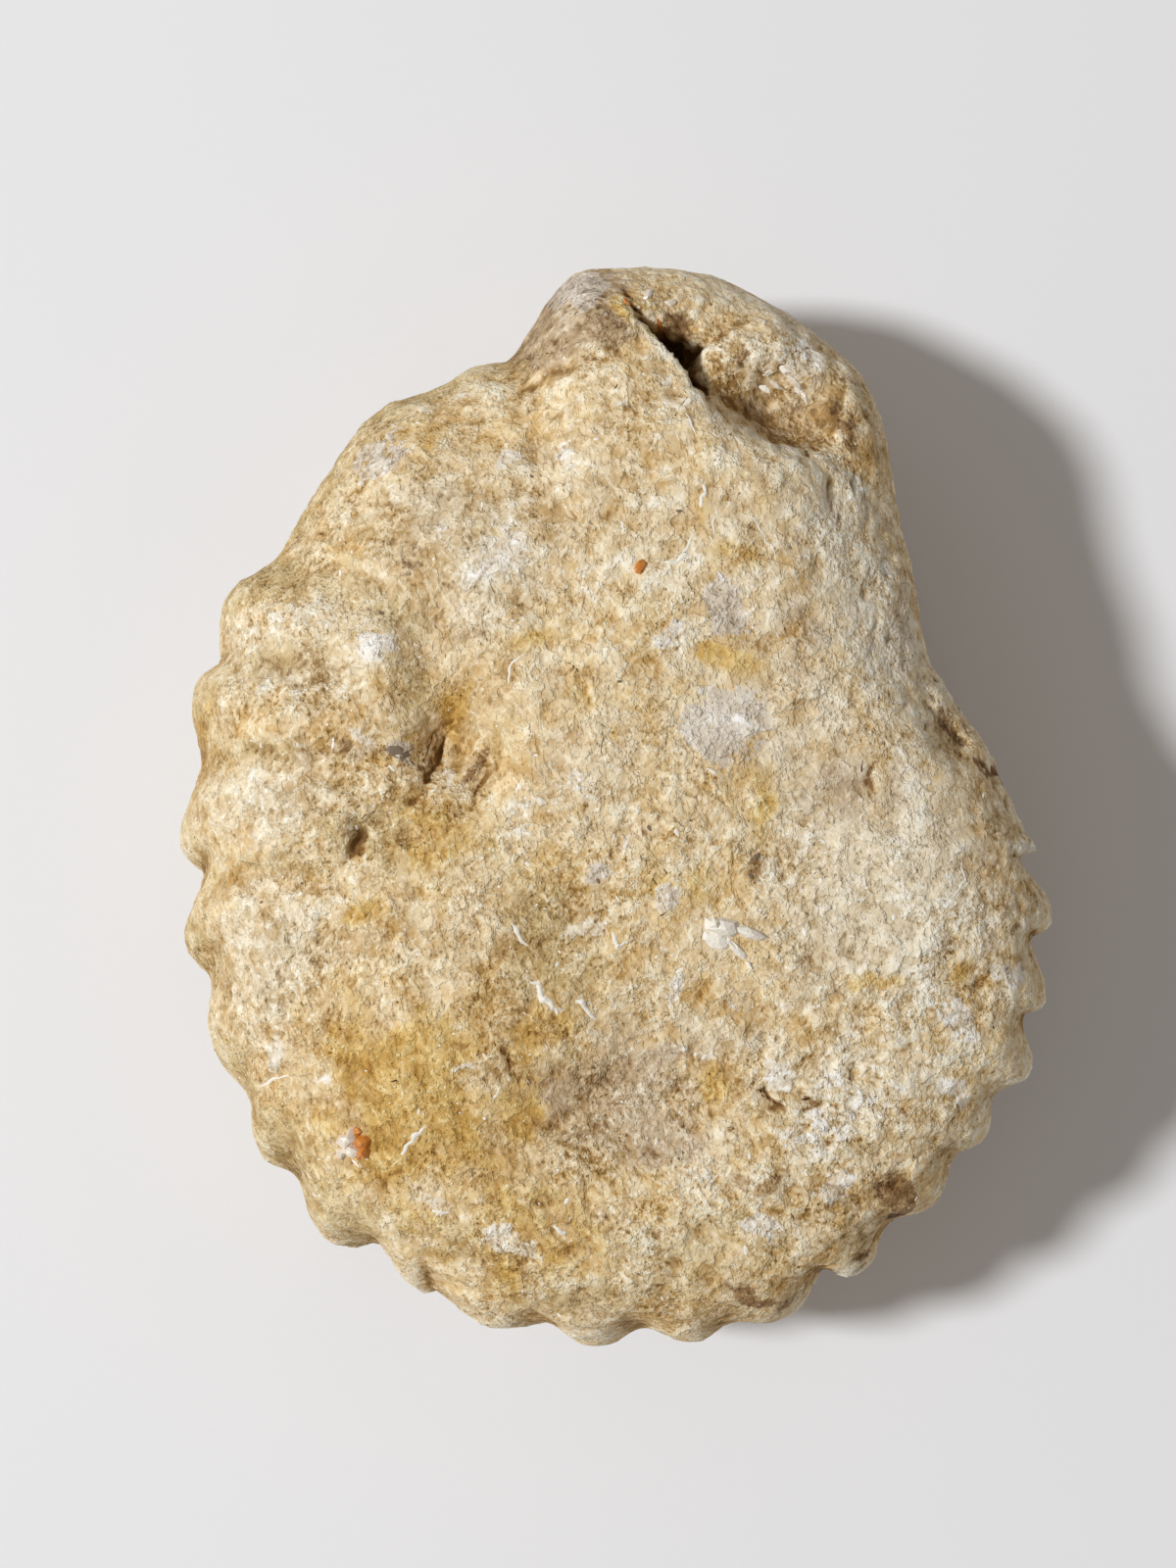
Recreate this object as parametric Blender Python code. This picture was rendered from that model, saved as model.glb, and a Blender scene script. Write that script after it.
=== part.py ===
"""Ammonite fossil: one loose limestone cast of a coiled, ribbed shell.

The stone lies on its side, as it rests on a table: +Z is up, +Y runs towards the narrow end and
the ribbed rim goes round the -X, -Y and +X sides. The origin is the middle of the footprint.
The shape is one closed ball whose points are moved by the functions below: a lobed outline, a
rolled edge, a flat-topped upper face with swells, furrows, steps and a crevice, and an underside
worn flat.
Shape values are millimetres and degrees; MM turns them into Blender's metres.
"""

import bmesh
import bpy
import numpy as np

MM = 0.001

# Driving dimensions: the finished stone fills exactly this box.
LENGTH = 165.0
WIDTH = 132.0
THICKNESS = 62.0

# Mesh fineness: rows of squares along each side of the cube that becomes the ball.
ROWS = 28

# Heights above the ground.
RIM_HEIGHT = 27.0
UPPER_FACE_HEIGHT = 58.0
UNDERSIDE_SAG = -2.0
NOMINAL_RADIUS = 75.0
NOMINAL_HALF_THICKNESS = 30.0

# Middle of the outline, and the hub that the shell coiled about, towards which the ribs run.
OUTLINE_MIDDLE = (-0.2, -1.3)
HUB = (-21.0, 8.0)

# Smooth part of the outline: (direction from +X, radius).
SMOOTH_OUTLINE = (
    (0, 60.2), (10, 57.0), (20, 53.5), (30, 53.8), (40, 58.6), (50, 65.8), (60, 77.3),
    (70, 82.2), (82, 86.2), (91, 86.2), (94, 85.6), (97, 82.4), (100, 77.9), (102, 74.9),
    (107, 74.3), (113, 72.8), (118, 74.0), (130, 70.0), (142, 66.5),
)

# Ribs along the rim: (crest direction, crest radius, furrow direction, furrow depth).
RIBS = (
    (149, 69.2, 158, 2.8), (163, 67.6, 173, 2.8), (183, 66.8, 188, 3.3),
    (197, 68.5, 202, 2.7), (211, 71.1, 218, 2.5), (224, 74.6, 229, 2.7),
    (236, 78.2, 242, 4.0), (248, 78.5, 250, 1.5), (257, 80.3, 263, 2.7),
    (268, 80.6, 274, 3.0), (280, 81.0, 283, 1.3), (289, 80.5, 295, 4.1),
    (299, 78.1, 305, 2.9), (310, 76.0, 316, 2.6), (320, 73.7, 325, 2.5),
    (329, 73.1, 335, 3.4), (338, 69.9, 345, 3.2), (348, 66.7, 356, 3.6),
    (357, 62.4, 360, 0.3),
)
FURROW_SHARPNESS = 1.2
AFTER_LAST_RIB = 361.0
RIB_LEAN = 3.0
HUB_CLEARING = (HUB[0], HUB[1], 20.0, 20.0, 0)

# How far the furrows run in over the upper face: (direction, millimetres).
UPPER_FURROW_REACH = (
    (140, 6.0), (165, 7.0), (192, 6.0), (212, 5.0), (235, 5.0), (270, 5.0), (315, 5.5),
    (350, 5.0),
)
UNDER_FURROW_REACH = 24.0

# Squareness of the rolled edge above the rim: 2 is a plain oval, more is boxier.
EDGE_SQUARENESS = (
    (0, 4.8), (20, 4.8), (40, 4.4), (60, 3.6), (85, 3.2), (105, 2.7), (130, 2.5),
    (180, 2.4), (225, 2.7), (270, 3.1), (300, 3.6), (335, 4.4),
)
UNDER_SQUARENESS = 2.2

# Swells and hollows of the upper face: (x, y, half length, half width, turn, rise).
UPPER_SWELLS = (
    (44.0, -13.0, 11.0, 13.0, 0, 1.4),
    (12.0, 48.0, 15.0, 9.0, -65, 1.6),
    (27.0, 25.0, 16.0, 9.0, -60, 1.4),
    (40.0, 4.0, 13.0, 9.0, -50, 1.0),
    (1.0, -43.0, 18.0, 12.0, 10, -3.4),
    (-25.0, 9.5, 6.5, 4.8, 70, -5.2),
    (-20.6, 2.6, 5.5, 3.4, 55, -2.4),
    (-27.0, 19.0, 16.0, 6.5, 100, -3.2),
    (-35.5, 22.5, 5.0, 4.5, 0, 2.2),
    (-50.0, 27.5, 10.0, 5.0, 8, 1.2),
    (-48.0, 12.0, 10.0, 4.5, 5, 0.9),
    (-47.0, -3.0, 11.0, 3.2, 5, 1.2),
    (-42.0, -4.8, 4.6, 3.8, 60, 1.9),
    (-35.0, -6.5, 5.0, 4.5, 60, -0.9),
    (-3.0, 74.0, 8.0, 7.0, 0, 3.4),
    (25.0, 68.0, 13.0, 10.0, -35, 2.0),
    (22.0, 60.5, 12.0, 6.5, -32, -8.0),
    (24.0, 47.0, 7.0, 5.0, -50, 1.0),
    (2.0, 5.0, 30.0, 24.0, 90, 1.5),
    (48.5, 10.5, 6.0, 3.0, -45, -4.0),
    (53.0, 4.5, 3.6, 3.2, 0, 1.6),
    (-9.0, -17.0, 6.0, 7.0, 0, -0.8),
)

# Hollows of the underside: the hub of the other flank.
UNDER_SWELLS = (
    (-22.0, 9.0, 11.0, 9.0, 30, 6.0),
)

# Crevice under the lip at the narrow end: (x, y, half length, half width, turn, depth).
CREVICE = (
    (2.4, 73.2, 5.0, 2.4, -56, 3.5),
    (7.6, 68.0, 5.4, 4.2, -45, 8.5),
    (10.8, 63.2, 4.8, 3.2, -60, 5.0),
)

# Soft furrows between the lobes: (points, half width, depth).
CREASES = (
    (((-63, 22), (-54, 22.5), (-46, 19), (-38, 16.5)), 3.4, 2.0),
    (((-65, 5), (-56, 6.5), (-46, 8), (-36, 6.5)), 3.0, 1.9),
    (((-65, -10), (-55, -11), (-46, -10), (-38, -12)), 3.0, 1.6),
    (((-63, -28), (-55.5, -26), (-48, -24)), 3.0, 1.1),
)
TAPER_ENDS = (0.04, 0.96)
TAPER_POWER = 0.6

# Edges where the face steps up on the left of the path: (points, rise, run, half width).
STEPS = (
    (((31.5, 52.6), (26, 53.8), (21, 55), (17.5, 57.2), (14.5, 60), (12.6, 63.5)), 7.4, 11.0, 2.1),
    (((-57, 37), (-48.5, 38), (-41.4, 36.5), (-35.4, 33.7), (-28.9, 30.2), (-24, 25)), 1.1, 8.0, 1.1),
)

# Lines past which the face falls away on the left of the path: (points, slope, softness, run).
FOLDS = (
    (((14, 58), (18, 50), (23.6, 40), (29, 30), (36, 21), (42, 13.5), (47, 5), (51, -6)),
     0.085, 1.0, 9.0),
    (((-20, 60), (-10.5, 70), (-8.2, 75.5), (-3, 88)), 0.8, 0.8, 9.0),
)
STEP_TAPER_POWER = 0.5
FOLD_TAPER_GAIN = 1.6

# The relief of the upper face fades out as the face turns over into the rim.
RELIEF_GAIN = 2.0

# The ball's points are drawn towards the upper face and towards the crevice, for finer faces.
UPPER_SHARE = 0.30
CREVICE_DIRECTION = (0.10, 0.75, 0.655)
CREVICE_PULL = 0.68
CREVICE_PULL_RANGE = 0.6

# Search for the rim point that each point of a face looks out to.
RIM_TRIES = 8
RIM_STRETCH = (0.5, 3.0)
TINY = 1e-9

STONE_COLOUR = (0.56, 0.44, 0.28, 1.0)
STONE_ROUGHNESS = 0.9


def clear_scene():
    """Remove every object that the file starts with."""
    for thing in list(bpy.data.objects):
        bpy.data.objects.remove(thing, do_unlink=True)


def round_curve(knots, degrees):
    """Smooth closed curve through (direction, value) knots, read at the given directions."""
    stops = np.array([knot[0] for knot in knots], dtype=float)
    values = np.array([knot[1] for knot in knots], dtype=float)
    stops = np.concatenate((stops[-2:] - 360.0, stops, stops[:2] + 360.0))
    values = np.concatenate((values[-2:], values, values[:2]))
    slopes = np.gradient(values, stops)
    first = np.clip(np.searchsorted(stops, degrees, side="right") - 1, 0, len(stops) - 2)
    step = stops[first + 1] - stops[first]
    part = (degrees - stops[first]) / step
    rest = 1.0 - part
    return (
        values[first] * rest * rest * (1.0 + 2.0 * part)
        + values[first + 1] * part * part * (3.0 - 2.0 * part)
        + slopes[first] * step * part * rest * rest
        - slopes[first + 1] * step * part * part * rest
    )


def outline_radius(degrees):
    """Radius of the rim over the rib crests, with the furrows left out."""
    crests = tuple((rib[0], rib[1]) for rib in RIBS)
    return round_curve(SMOOTH_OUTLINE + crests, degrees)


def furrow_depth(degrees):
    """Depth of the rim below the line over the crests: nought on each crest."""
    crests = [rib[0] for rib in RIBS]
    stops, phases = [crests[0]], [0.0]
    for rib, following in zip(RIBS, crests[1:] + [AFTER_LAST_RIB]):
        stops += [rib[2], following]
        phases += [1.0, 0.0]
    phase = np.interp(degrees, stops, phases, left=0.0, right=0.0)
    depth = np.interp(degrees, [rib[2] for rib in RIBS], [rib[3] for rib in RIBS])
    return depth * (0.5 - 0.5 * np.cos(np.pi * phase)) ** FURROW_SHARPNESS


def bell(x, y, spot):
    """Soft round bump of height one over a turned oval spot."""
    centre_x, centre_y, half_length, half_width, turn = spot[:5]
    cosine, sine = np.cos(np.radians(turn)), np.sin(np.radians(turn))
    along = ((x - centre_x) * cosine + (y - centre_y) * sine) / half_length
    across = ((y - centre_y) * cosine - (x - centre_x) * sine) / half_width
    return np.exp(-(along ** 2 + across ** 2))


def swells(x, y, spots):
    """Sum of the bumps and hollows at points of a face."""
    return sum(spot[5] * bell(x, y, spot) for spot in spots)


def draw_points(directions):
    """Crowd the ball's points towards the upper face, then towards the crevice."""
    slope = np.arccos(np.clip(directions[:, 2], -1.0, 1.0))
    raised = slope - UPPER_SHARE * np.sin(slope)
    flat = np.hypot(directions[:, 0], directions[:, 1])
    flat[flat == 0.0] = 1.0
    scale = np.sin(raised) / flat
    points = np.column_stack(
        (directions[:, 0] * scale, directions[:, 1] * scale, np.cos(raised))
    )
    aim = np.array(CREVICE_DIRECTION) / np.linalg.norm(CREVICE_DIRECTION)
    lined_up = np.clip(points @ aim, -1.0, 1.0)
    angle = np.arccos(lined_up)
    sideways = points - lined_up[:, None] * aim
    sideways /= np.maximum(np.linalg.norm(sideways, axis=1), TINY)[:, None]
    near = np.clip(1.0 - angle / CREVICE_PULL_RANGE, 0.0, 1.0)
    drawn = angle * (1.0 - CREVICE_PULL * near ** 2)
    return np.cos(drawn)[:, None] * aim + np.sin(drawn)[:, None] * sideways


def rib_direction(x, y):
    """Direction on the rim at which the line from the hub through each point ends."""
    from_hub_x, from_hub_y = x - HUB[0], y - HUB[1]
    stretch = np.ones_like(x)
    for _ in range(RIM_TRIES):
        end_x = HUB[0] + stretch * from_hub_x - OUTLINE_MIDDLE[0]
        end_y = HUB[1] + stretch * from_hub_y - OUTLINE_MIDDLE[1]
        degrees = np.degrees(np.arctan2(end_y, end_x)) % 360.0
        radius = np.maximum(np.hypot(end_x, end_y), 1.0)
        stretch *= np.clip(outline_radius(degrees) / radius, *RIM_STRETCH)
    return degrees


def trace(x, y, path):
    """Distance from each point to a path, the signed distance, and how far along it lies."""
    path = np.array(path, dtype=float)
    lengths = np.linalg.norm(np.diff(path, axis=0), axis=1)
    starts = np.concatenate(((0.0,), np.cumsum(lengths)[:-1])) / lengths.sum()
    best = np.full(x.shape, np.inf)
    signed, along = np.zeros_like(x), np.zeros_like(x)
    for (x0, y0), (x1, y1), length, start in zip(path[:-1], path[1:], lengths, starts):
        direction_x, direction_y = (x1 - x0) / length, (y1 - y0) / length
        part = (x - x0) * direction_x + (y - y0) * direction_y
        side = (y - y0) * direction_x - (x - x0) * direction_y
        clipped = np.clip(part, 0.0, length)
        distance = np.hypot(part - clipped, side)
        nearer = distance < best
        best[nearer] = distance[nearer]
        signed[nearer] = (np.sign(side) * distance)[nearer]
        along[nearer] = (start + clipped / lengths.sum())[nearer]
    return best, signed, along


def creases(x, y):
    """Depth of the furrows between the lobes at points of the upper face."""
    depth = np.zeros_like(x)
    for path, half_width, deepest in CREASES:
        distance, _, along = trace(x, y, path)
        taper = np.sin(np.pi * np.clip(along, *TAPER_ENDS)) ** TAPER_POWER
        depth += deepest * taper * np.exp(-((distance / half_width) ** 2))
    return depth


def steps(x, y):
    """Rise of the stepped edges at points of the upper face."""
    rise = np.zeros_like(x)
    for path, height, run, half_width in STEPS:
        distance, signed, along = trace(x, y, path)
        taper = np.sin(np.pi * np.clip(along, 0.0, 1.0)) ** STEP_TAPER_POWER
        edge = 0.5 + 0.5 * np.tanh(signed / half_width)
        rise += height * taper * (edge - 0.5) * np.exp(-distance / run)
    return rise


def folds(x, y):
    """Drop of the faces that turn down past a line."""
    drop = np.zeros_like(x)
    for path, slope, softness, run in FOLDS:
        _, signed, along = trace(x, y, path)
        past = softness * np.logaddexp(0.0, signed / softness)
        taper = np.sin(np.pi * along) ** 2
        drop += slope * np.minimum(FOLD_TAPER_GAIN * taper, 1.0) * run * np.tanh(past / run)
    return drop


def shape_stone(directions):
    """Move unit directions out to the surface of the stone, in millimetres."""
    points = draw_points(directions)
    degrees = np.degrees(np.arctan2(points[:, 1], points[:, 0])) % 360.0
    upper = points[:, 2] >= 0.0
    squareness = np.where(upper, round_curve(EDGE_SQUARENESS, degrees), UNDER_SQUARENESS)
    sine = np.hypot(points[:, 0], points[:, 1])
    cosine = np.abs(points[:, 2])
    spread = (sine ** squareness + cosine ** squareness) ** (-1.0 / squareness)
    outward, lift = sine * spread, cosine * spread

    radius = outline_radius(degrees)
    angle = np.radians(degrees)
    x = OUTLINE_MIDDLE[0] + outward * radius * np.cos(angle)
    y = OUTLINE_MIDDLE[1] + outward * radius * np.sin(angle)
    top = UPPER_FACE_HEIGHT + swells(x, y, UPPER_SWELLS)
    bottom = UNDERSIDE_SAG + swells(x, y, UNDER_SWELLS)
    z = RIM_HEIGHT + lift * np.where(upper, top - RIM_HEIGHT, bottom - RIM_HEIGHT)

    facing_out = outward ** (squareness - 1.0) / NOMINAL_RADIUS
    facing_up = lift ** (squareness - 1.0) / NOMINAL_HALF_THICKNESS
    facing = np.hypot(facing_out, facing_up)
    facing_up = np.where(upper, facing_up, -facing_up) / facing
    facing_out = facing_out / facing

    from_rim = (1.0 - outward) * radius
    reach = np.where(upper, round_curve(UPPER_FURROW_REACH, degrees), UNDER_FURROW_REACH)
    fade = np.exp(-((from_rim / reach) ** 2)) * (1.0 - bell(x, y, HUB_CLEARING))
    lean = RIB_LEAN * (z - RIM_HEIGHT) / NOMINAL_HALF_THICKNESS
    furrow = furrow_depth(rib_direction(x, y) + lean) * fade
    x = x - furrow * facing_out * np.cos(angle)
    y = y - furrow * facing_out * np.sin(angle)
    z = z - furrow * facing_up
    relief = steps(x, y) - folds(x, y) - creases(x, y) - swells(x, y, CREVICE)
    z = np.where(upper, z + relief * np.clip(RELIEF_GAIN * facing_up, 0.0, 1.0), z)
    return np.column_stack((x, y, np.maximum(z, 0.0)))


def fit_to_size(points):
    """Fill the driving dimensions exactly, with the origin in the middle of the footprint."""
    low, high = points.min(axis=0), points.max(axis=0)
    middle = (low + high) / 2.0
    middle[2] = low[2]
    return (points - middle) * np.array((WIDTH, LENGTH, THICKNESS)) / (high - low)


def ball_mesh(name):
    """Cube cut into squares, ready to be rounded into a ball."""
    shell = bmesh.new()
    bmesh.ops.create_cube(shell, size=2.0)
    bmesh.ops.subdivide_edges(shell, edges=shell.edges[:], cuts=ROWS - 1, use_grid_fill=True)
    mesh = bpy.data.meshes.new(name)
    shell.to_mesh(mesh)
    shell.free()
    return mesh


def stone_material():
    """Dull cream limestone."""
    material = bpy.data.materials.new("limestone")
    material.use_nodes = True
    surface = material.node_tree.nodes["Principled BSDF"]
    surface.inputs["Base Color"].default_value = STONE_COLOUR
    surface.inputs["Roughness"].default_value = STONE_ROUGHNESS
    surface.inputs["Metallic"].default_value = 0.0
    return material


def build_ammonite(collection):
    """The whole fossil: one solid stone."""
    mesh = ball_mesh("ammonite_fossil")
    corners = np.empty(len(mesh.vertices) * 3)
    mesh.vertices.foreach_get("co", corners)
    cube = np.tan(corners.reshape(-1, 3) * np.pi / 4.0)
    directions = cube / np.linalg.norm(cube, axis=1)[:, None]
    points = fit_to_size(shape_stone(directions)) * MM
    mesh.vertices.foreach_set("co", points.ravel())
    mesh.shade_smooth()
    mesh.update()
    stone = bpy.data.objects.new("ammonite_fossil", mesh)
    stone.data.materials.append(stone_material())
    collection.objects.link(stone)
    return stone


def main():
    clear_scene()
    collection = bpy.data.collections.new("ammonite")
    bpy.context.scene.collection.children.link(collection)
    build_ammonite(collection)


main()
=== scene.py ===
"""Ammonite fossil: the finished look of one loose limestone cast.

The stone's own mesh is built here at full fineness from the same outline, ribs and swells as its
solid, then given its cracks, flaked skin, stains and painted light and shade. Geometry Nodes lay
on it what is grown into the rock: shell lines, hair cracks, shell scraps, dark grit and crust.
Shape values are millimetres and degrees; MM turns them into metres.
"""

import bmesh
import bpy
import numpy as np
from mathutils import Matrix, Vector, noise
from mathutils.bvhtree import BVHTree

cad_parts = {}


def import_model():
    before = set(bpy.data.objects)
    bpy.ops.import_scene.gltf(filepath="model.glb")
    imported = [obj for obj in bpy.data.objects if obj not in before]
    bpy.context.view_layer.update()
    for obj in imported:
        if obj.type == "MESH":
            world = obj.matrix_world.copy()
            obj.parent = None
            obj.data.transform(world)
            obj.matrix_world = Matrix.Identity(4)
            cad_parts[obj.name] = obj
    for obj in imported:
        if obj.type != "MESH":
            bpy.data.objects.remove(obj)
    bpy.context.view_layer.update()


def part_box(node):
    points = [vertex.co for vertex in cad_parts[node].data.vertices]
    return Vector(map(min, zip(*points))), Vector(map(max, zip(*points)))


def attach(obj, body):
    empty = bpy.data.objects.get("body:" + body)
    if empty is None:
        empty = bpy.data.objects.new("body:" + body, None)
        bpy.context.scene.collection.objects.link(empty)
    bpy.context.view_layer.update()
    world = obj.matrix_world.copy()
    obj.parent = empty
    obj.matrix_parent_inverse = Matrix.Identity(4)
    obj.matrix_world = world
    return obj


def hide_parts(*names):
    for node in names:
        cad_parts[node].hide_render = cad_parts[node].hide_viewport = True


MM = 0.001
# The wander of noise_vector starts from the clock unless it is given a seed.
WANDER_SEED = 7
noise.seed_set(WANDER_SEED)

# ---------------------------------------------------------------- the stone's form
ROWS = 128
RIM_HEIGHT = 27.0
UPPER_FACE_HEIGHT = 58.0
UNDERSIDE_SAG = -2.0
NOMINAL_RADIUS = 75.0
NOMINAL_HALF_THICKNESS = 30.0
OUTLINE_MIDDLE = (-0.2, -1.3)
HUB = (-21.0, 8.0)

# Smooth part of the outline: (direction from +X, radius).
SMOOTH_OUTLINE = (
    (0, 60.2), (10, 57.0), (20, 53.5), (30, 53.8), (40, 58.6), (50, 65.8), (60, 77.3),
    (70, 82.2), (82, 86.2), (91, 86.2), (94, 85.6), (97, 82.4), (100, 77.9), (102, 74.9),
    (107, 74.3), (113, 72.8), (118, 74.0), (130, 70.0), (142, 66.5),
)

# Ribs along the rim: (crest direction, crest radius, furrow direction, furrow depth).
RIBS = (
    (149, 69.2, 158, 2.8), (163, 67.6, 173, 2.8), (183, 66.8, 188, 3.3),
    (197, 68.5, 202, 2.7), (211, 71.1, 218, 2.5), (224, 74.6, 229, 2.7),
    (236, 78.2, 242, 4.0), (248, 78.5, 250, 1.5), (257, 80.3, 263, 2.7),
    (268, 80.6, 274, 3.0), (280, 81.0, 283, 1.3), (289, 80.5, 295, 4.1),
    (299, 78.1, 305, 2.9), (310, 76.0, 316, 2.6), (320, 73.7, 325, 2.5),
    (329, 73.1, 335, 3.4), (338, 69.9, 345, 3.2), (348, 66.7, 356, 3.6),
    (357, 62.4, 360, 0.3),
)
AFTER_LAST_RIB = (361, 0, 0, 0)
FURROW_SHARPNESS = 1.2
RIB_LEAN = 3.0
HUB_CLEARING = (HUB[0], HUB[1], 20.0, 20.0, 0)
UPPER_FURROW_REACH = (
    (140, 6), (165, 7), (192, 6), (212, 5), (235, 5), (270, 5), (315, 5.5), (350, 5),
)
UNDER_FURROW_REACH = 24.0
EDGE_SQUARENESS = (
    (0, 4.8), (20, 4.8), (40, 4.4), (60, 3.6), (85, 3.2), (105, 2.7), (130, 2.5), (180, 2.4),
    (225, 2.7), (270, 3.1), (300, 3.6), (335, 4.4),
)
UNDER_SQUARENESS = 2.2

# Swells and hollows: (x, y, half length, half width, turn, rise).
UPPER_SWELLS = (
    (44, -13, 11, 13, 0, 1.4), (12, 48, 15, 9, -65, 1.6), (27, 25, 16, 9, -60, 1.4),
    (40, 4, 13, 9, -50, 1), (1, -43, 18, 12, 10, -3.4), (-25, 9.5, 6.5, 4.8, 70, -5.2),
    (-20.6, 2.6, 5.5, 3.4, 55, -2.4), (-27, 19, 16, 6.5, 100, -3.2),
    (-35.5, 22.5, 5, 4.5, 0, 2.2), (-50, 27.5, 10, 5, 8, 1.2), (-48, 12, 10, 4.5, 5, 0.9),
    (-47, -3, 11, 3.2, 5, 1.2), (-42, -4.8, 4.6, 3.8, 60, 1.9), (-35, -6.5, 5, 4.5, 60, -0.9),
    (-3, 74, 8, 7, 0, 3.4), (25, 68, 13, 10, -35, 2), (22, 60.5, 12, 6.5, -32, -8),
    (24, 47, 7, 5, -50, 1), (2, 5, 30, 24, 90, 1.5), (48.5, 10.5, 6, 3, -45, -4),
    (53, 4.5, 3.6, 3.2, 0, 1.6), (-9, -17, 6, 7, 0, -0.8),
)
UNDER_SWELLS = (
    (-22.0, 9.0, 11.0, 9.0, 30, 6.0),
)
UPPER_SHARE = 0.40
CREVICE_DIRECTION = (0.10, 0.75, 0.655)
CREVICE_PULL = 0.68
CREVICE_PULL_RANGE = 0.6

# The crevice on the right of its lip, from the nose down: (x, y, depth, width).
CREVICE = (
    (-1, 79, 0.8, 0.6), (0.6, 75.2, 2.4, 0.8), (2.3, 72.9, 4, 1), (4.4, 71, 8.5, 2.4),
    (6.4, 69, 12, 4.3), (8, 67.2, 13, 5), (8.6, 66.2, 10, 3.6), (9.8, 64.2, 8, 2.2),
    (11.7, 61.3, 5, 1.5), (12.8, 59.2, 0.6, 0.9),
)
CREVICE_WALL = 0.45
CREVICE_STEEPNESS = 6
CREVICE_ENDS = 0.05
CREVICE_BOWL = 2.3
BOWL_SHARE = 0.40
LIP_RISE = 0.5
LIP_WIDTH = 2.4
RAGGED_SIZE = 1.7
RAGGED_REACH = 0.75

# Soft furrows and narrow cracks of the upper face: (points, half width, depth).
CREASES = (
    (((-63, 22), (-54, 22.5), (-46, 19), (-38, 16.5)), 3.4, 2.0),
    (((-65, 5), (-56, 6.5), (-46, 8), (-36, 6.5)), 3.0, 1.9),
    (((-65, -10), (-55, -11), (-46, -10), (-38, -12)), 3.0, 1.6),
    (((-63, -28), (-55.5, -26), (-48, -24)), 3.0, 1.1),
    (((-26.0, 12), (-26.5, 9), (-27.5, 5.6), (-28.4, 3.2), (-30.4, 1)), 0.85, 1.4),
    (((-18.2, 6.6), (-19.7, 4.5), (-21.2, 2.3), (-22.3, -0.6)), 0.8, 1.3),
    (((-38.6, -2.2), (-38.1, -4.6), (-38.4, -6.6), (-41.2, -9.6)), 0.8, 1.3),
    (((-38.1, -4.5), (-36.4, -3.6), (-34.4, -2.4)), 0.7, 0.8),
    (((-29.6, 1.6), (-30.4, -0.6)), 0.6, 0.7),
    (((-28.6, 1.8), (-29.2, -0.8)), 0.6, 0.7),
    (((-10.2, 19.2), (-7.6, 18.7), (-5.9, 17.2), (-4.5, 13.2)), 0.5, 0.6),
    (((-17, 61), (-10, 64.5), (-3, 66.5), (2, 68.5)), 1.5, 1.1),
    (((35.9, 5.6), (35.1, 3.2), (35.6, 0.6)), 0.5, 0.9),
    (((18.8, -41.4), (20.9, -43.6), (23.4, -45.2)), 0.6, 1.0),
    (((25.8, -45), (27.4, -44.4), (28.8, -43.4)), 0.6, 0.8),
    (((-18.4, -35.2), (-16.4, -37.6), (-15.5, -41.6)), 0.6, 0.6),
    (((55.9, 5.4), (54.9, 2.6)), 0.7, 1.6),
    (((58, 2.8), (57, -0.8)), 0.6, 1.5),
)

TAPER_ENDS = (0.04, 0.96)
TAPER_POWER = 0.6

# Edges where the skin steps up on the left of the path: (points, rise, run, half width).
STEPS = (
    (((31.5, 52.6), (26, 53.8), (21, 55), (17.5, 57.2), (14.5, 60), (12.6, 63.5)), 7.4, 11, 2.1),
    (((-57, 37), (-48.5, 38), (-41.4, 36.5), (-35.4, 33.7), (-28.9, 30.2), (-24, 25)), 1.1, 8, 1.1),
    (((-15.6, 13), (-16, 16.5), (-15.2, 19), (-12.4, 20.6)), -0.5, 3.0, 0.35),
    (((22, 14.2), (28, 15.4), (33, 14.2), (38.5, 15.2)), 0.5, 3.0, 0.4),
    (((9, 3.4), (13, 2.5), (17.5, 3.4)), 0.4, 4.0, 0.35),
    (((-7.5, -6), (-4.5, -2.2), (-1, -1.2), (2.8, -3), (4.4, -6)), 0.4, 3.0, 0.4),
)

# Lines past which the face falls away on the left of the path: (points, slope, softness, run).
FOLDS = (
    (((14, 58), (18, 50), (23.6, 40), (29, 30), (36, 21), (42, 13.5), (47, 5), (51, -6)),
     0.085, 1.0, 9.0),
    (((-20, 60), (-10.5, 70), (-8.2, 75.5), (-3, 88)), 0.8, 0.8, 9.0),
)
STEP_TAPER_POWER = 0.5
FOLD_TAPER_GAIN = 1.6
RELIEF_GAIN = 2.0
RIM_TRIES = 8
RIM_STRETCH = (0.5, 3.0)
TINY = 1e-9


def round_curve(knots, degrees):
    """Smooth closed curve through (direction, value) knots, read at the given directions."""
    stops = np.array([knot[0] for knot in knots], dtype=float)
    values = np.array([knot[1] for knot in knots], dtype=float)
    stops = np.concatenate((stops[-2:] - 360.0, stops, stops[:2] + 360.0))
    values = np.concatenate((values[-2:], values, values[:2]))
    slopes = np.gradient(values, stops)
    first = np.clip(np.searchsorted(stops, degrees, side="right") - 1, 0, len(stops) - 2)
    step = stops[first + 1] - stops[first]
    part = (degrees - stops[first]) / step
    rest = 1.0 - part
    return (
        values[first] * rest * rest * (1.0 + 2.0 * part)
        + values[first + 1] * part * part * (3.0 - 2.0 * part)
        + slopes[first] * step * part * rest * rest
        - slopes[first + 1] * step * part * part * rest
    )


def outline_radius(degrees):
    """Radius of the rim over the rib crests, with the furrows left out."""
    crests = tuple((rib[0], rib[1]) for rib in RIBS)
    return round_curve(SMOOTH_OUTLINE + crests, degrees)


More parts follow.
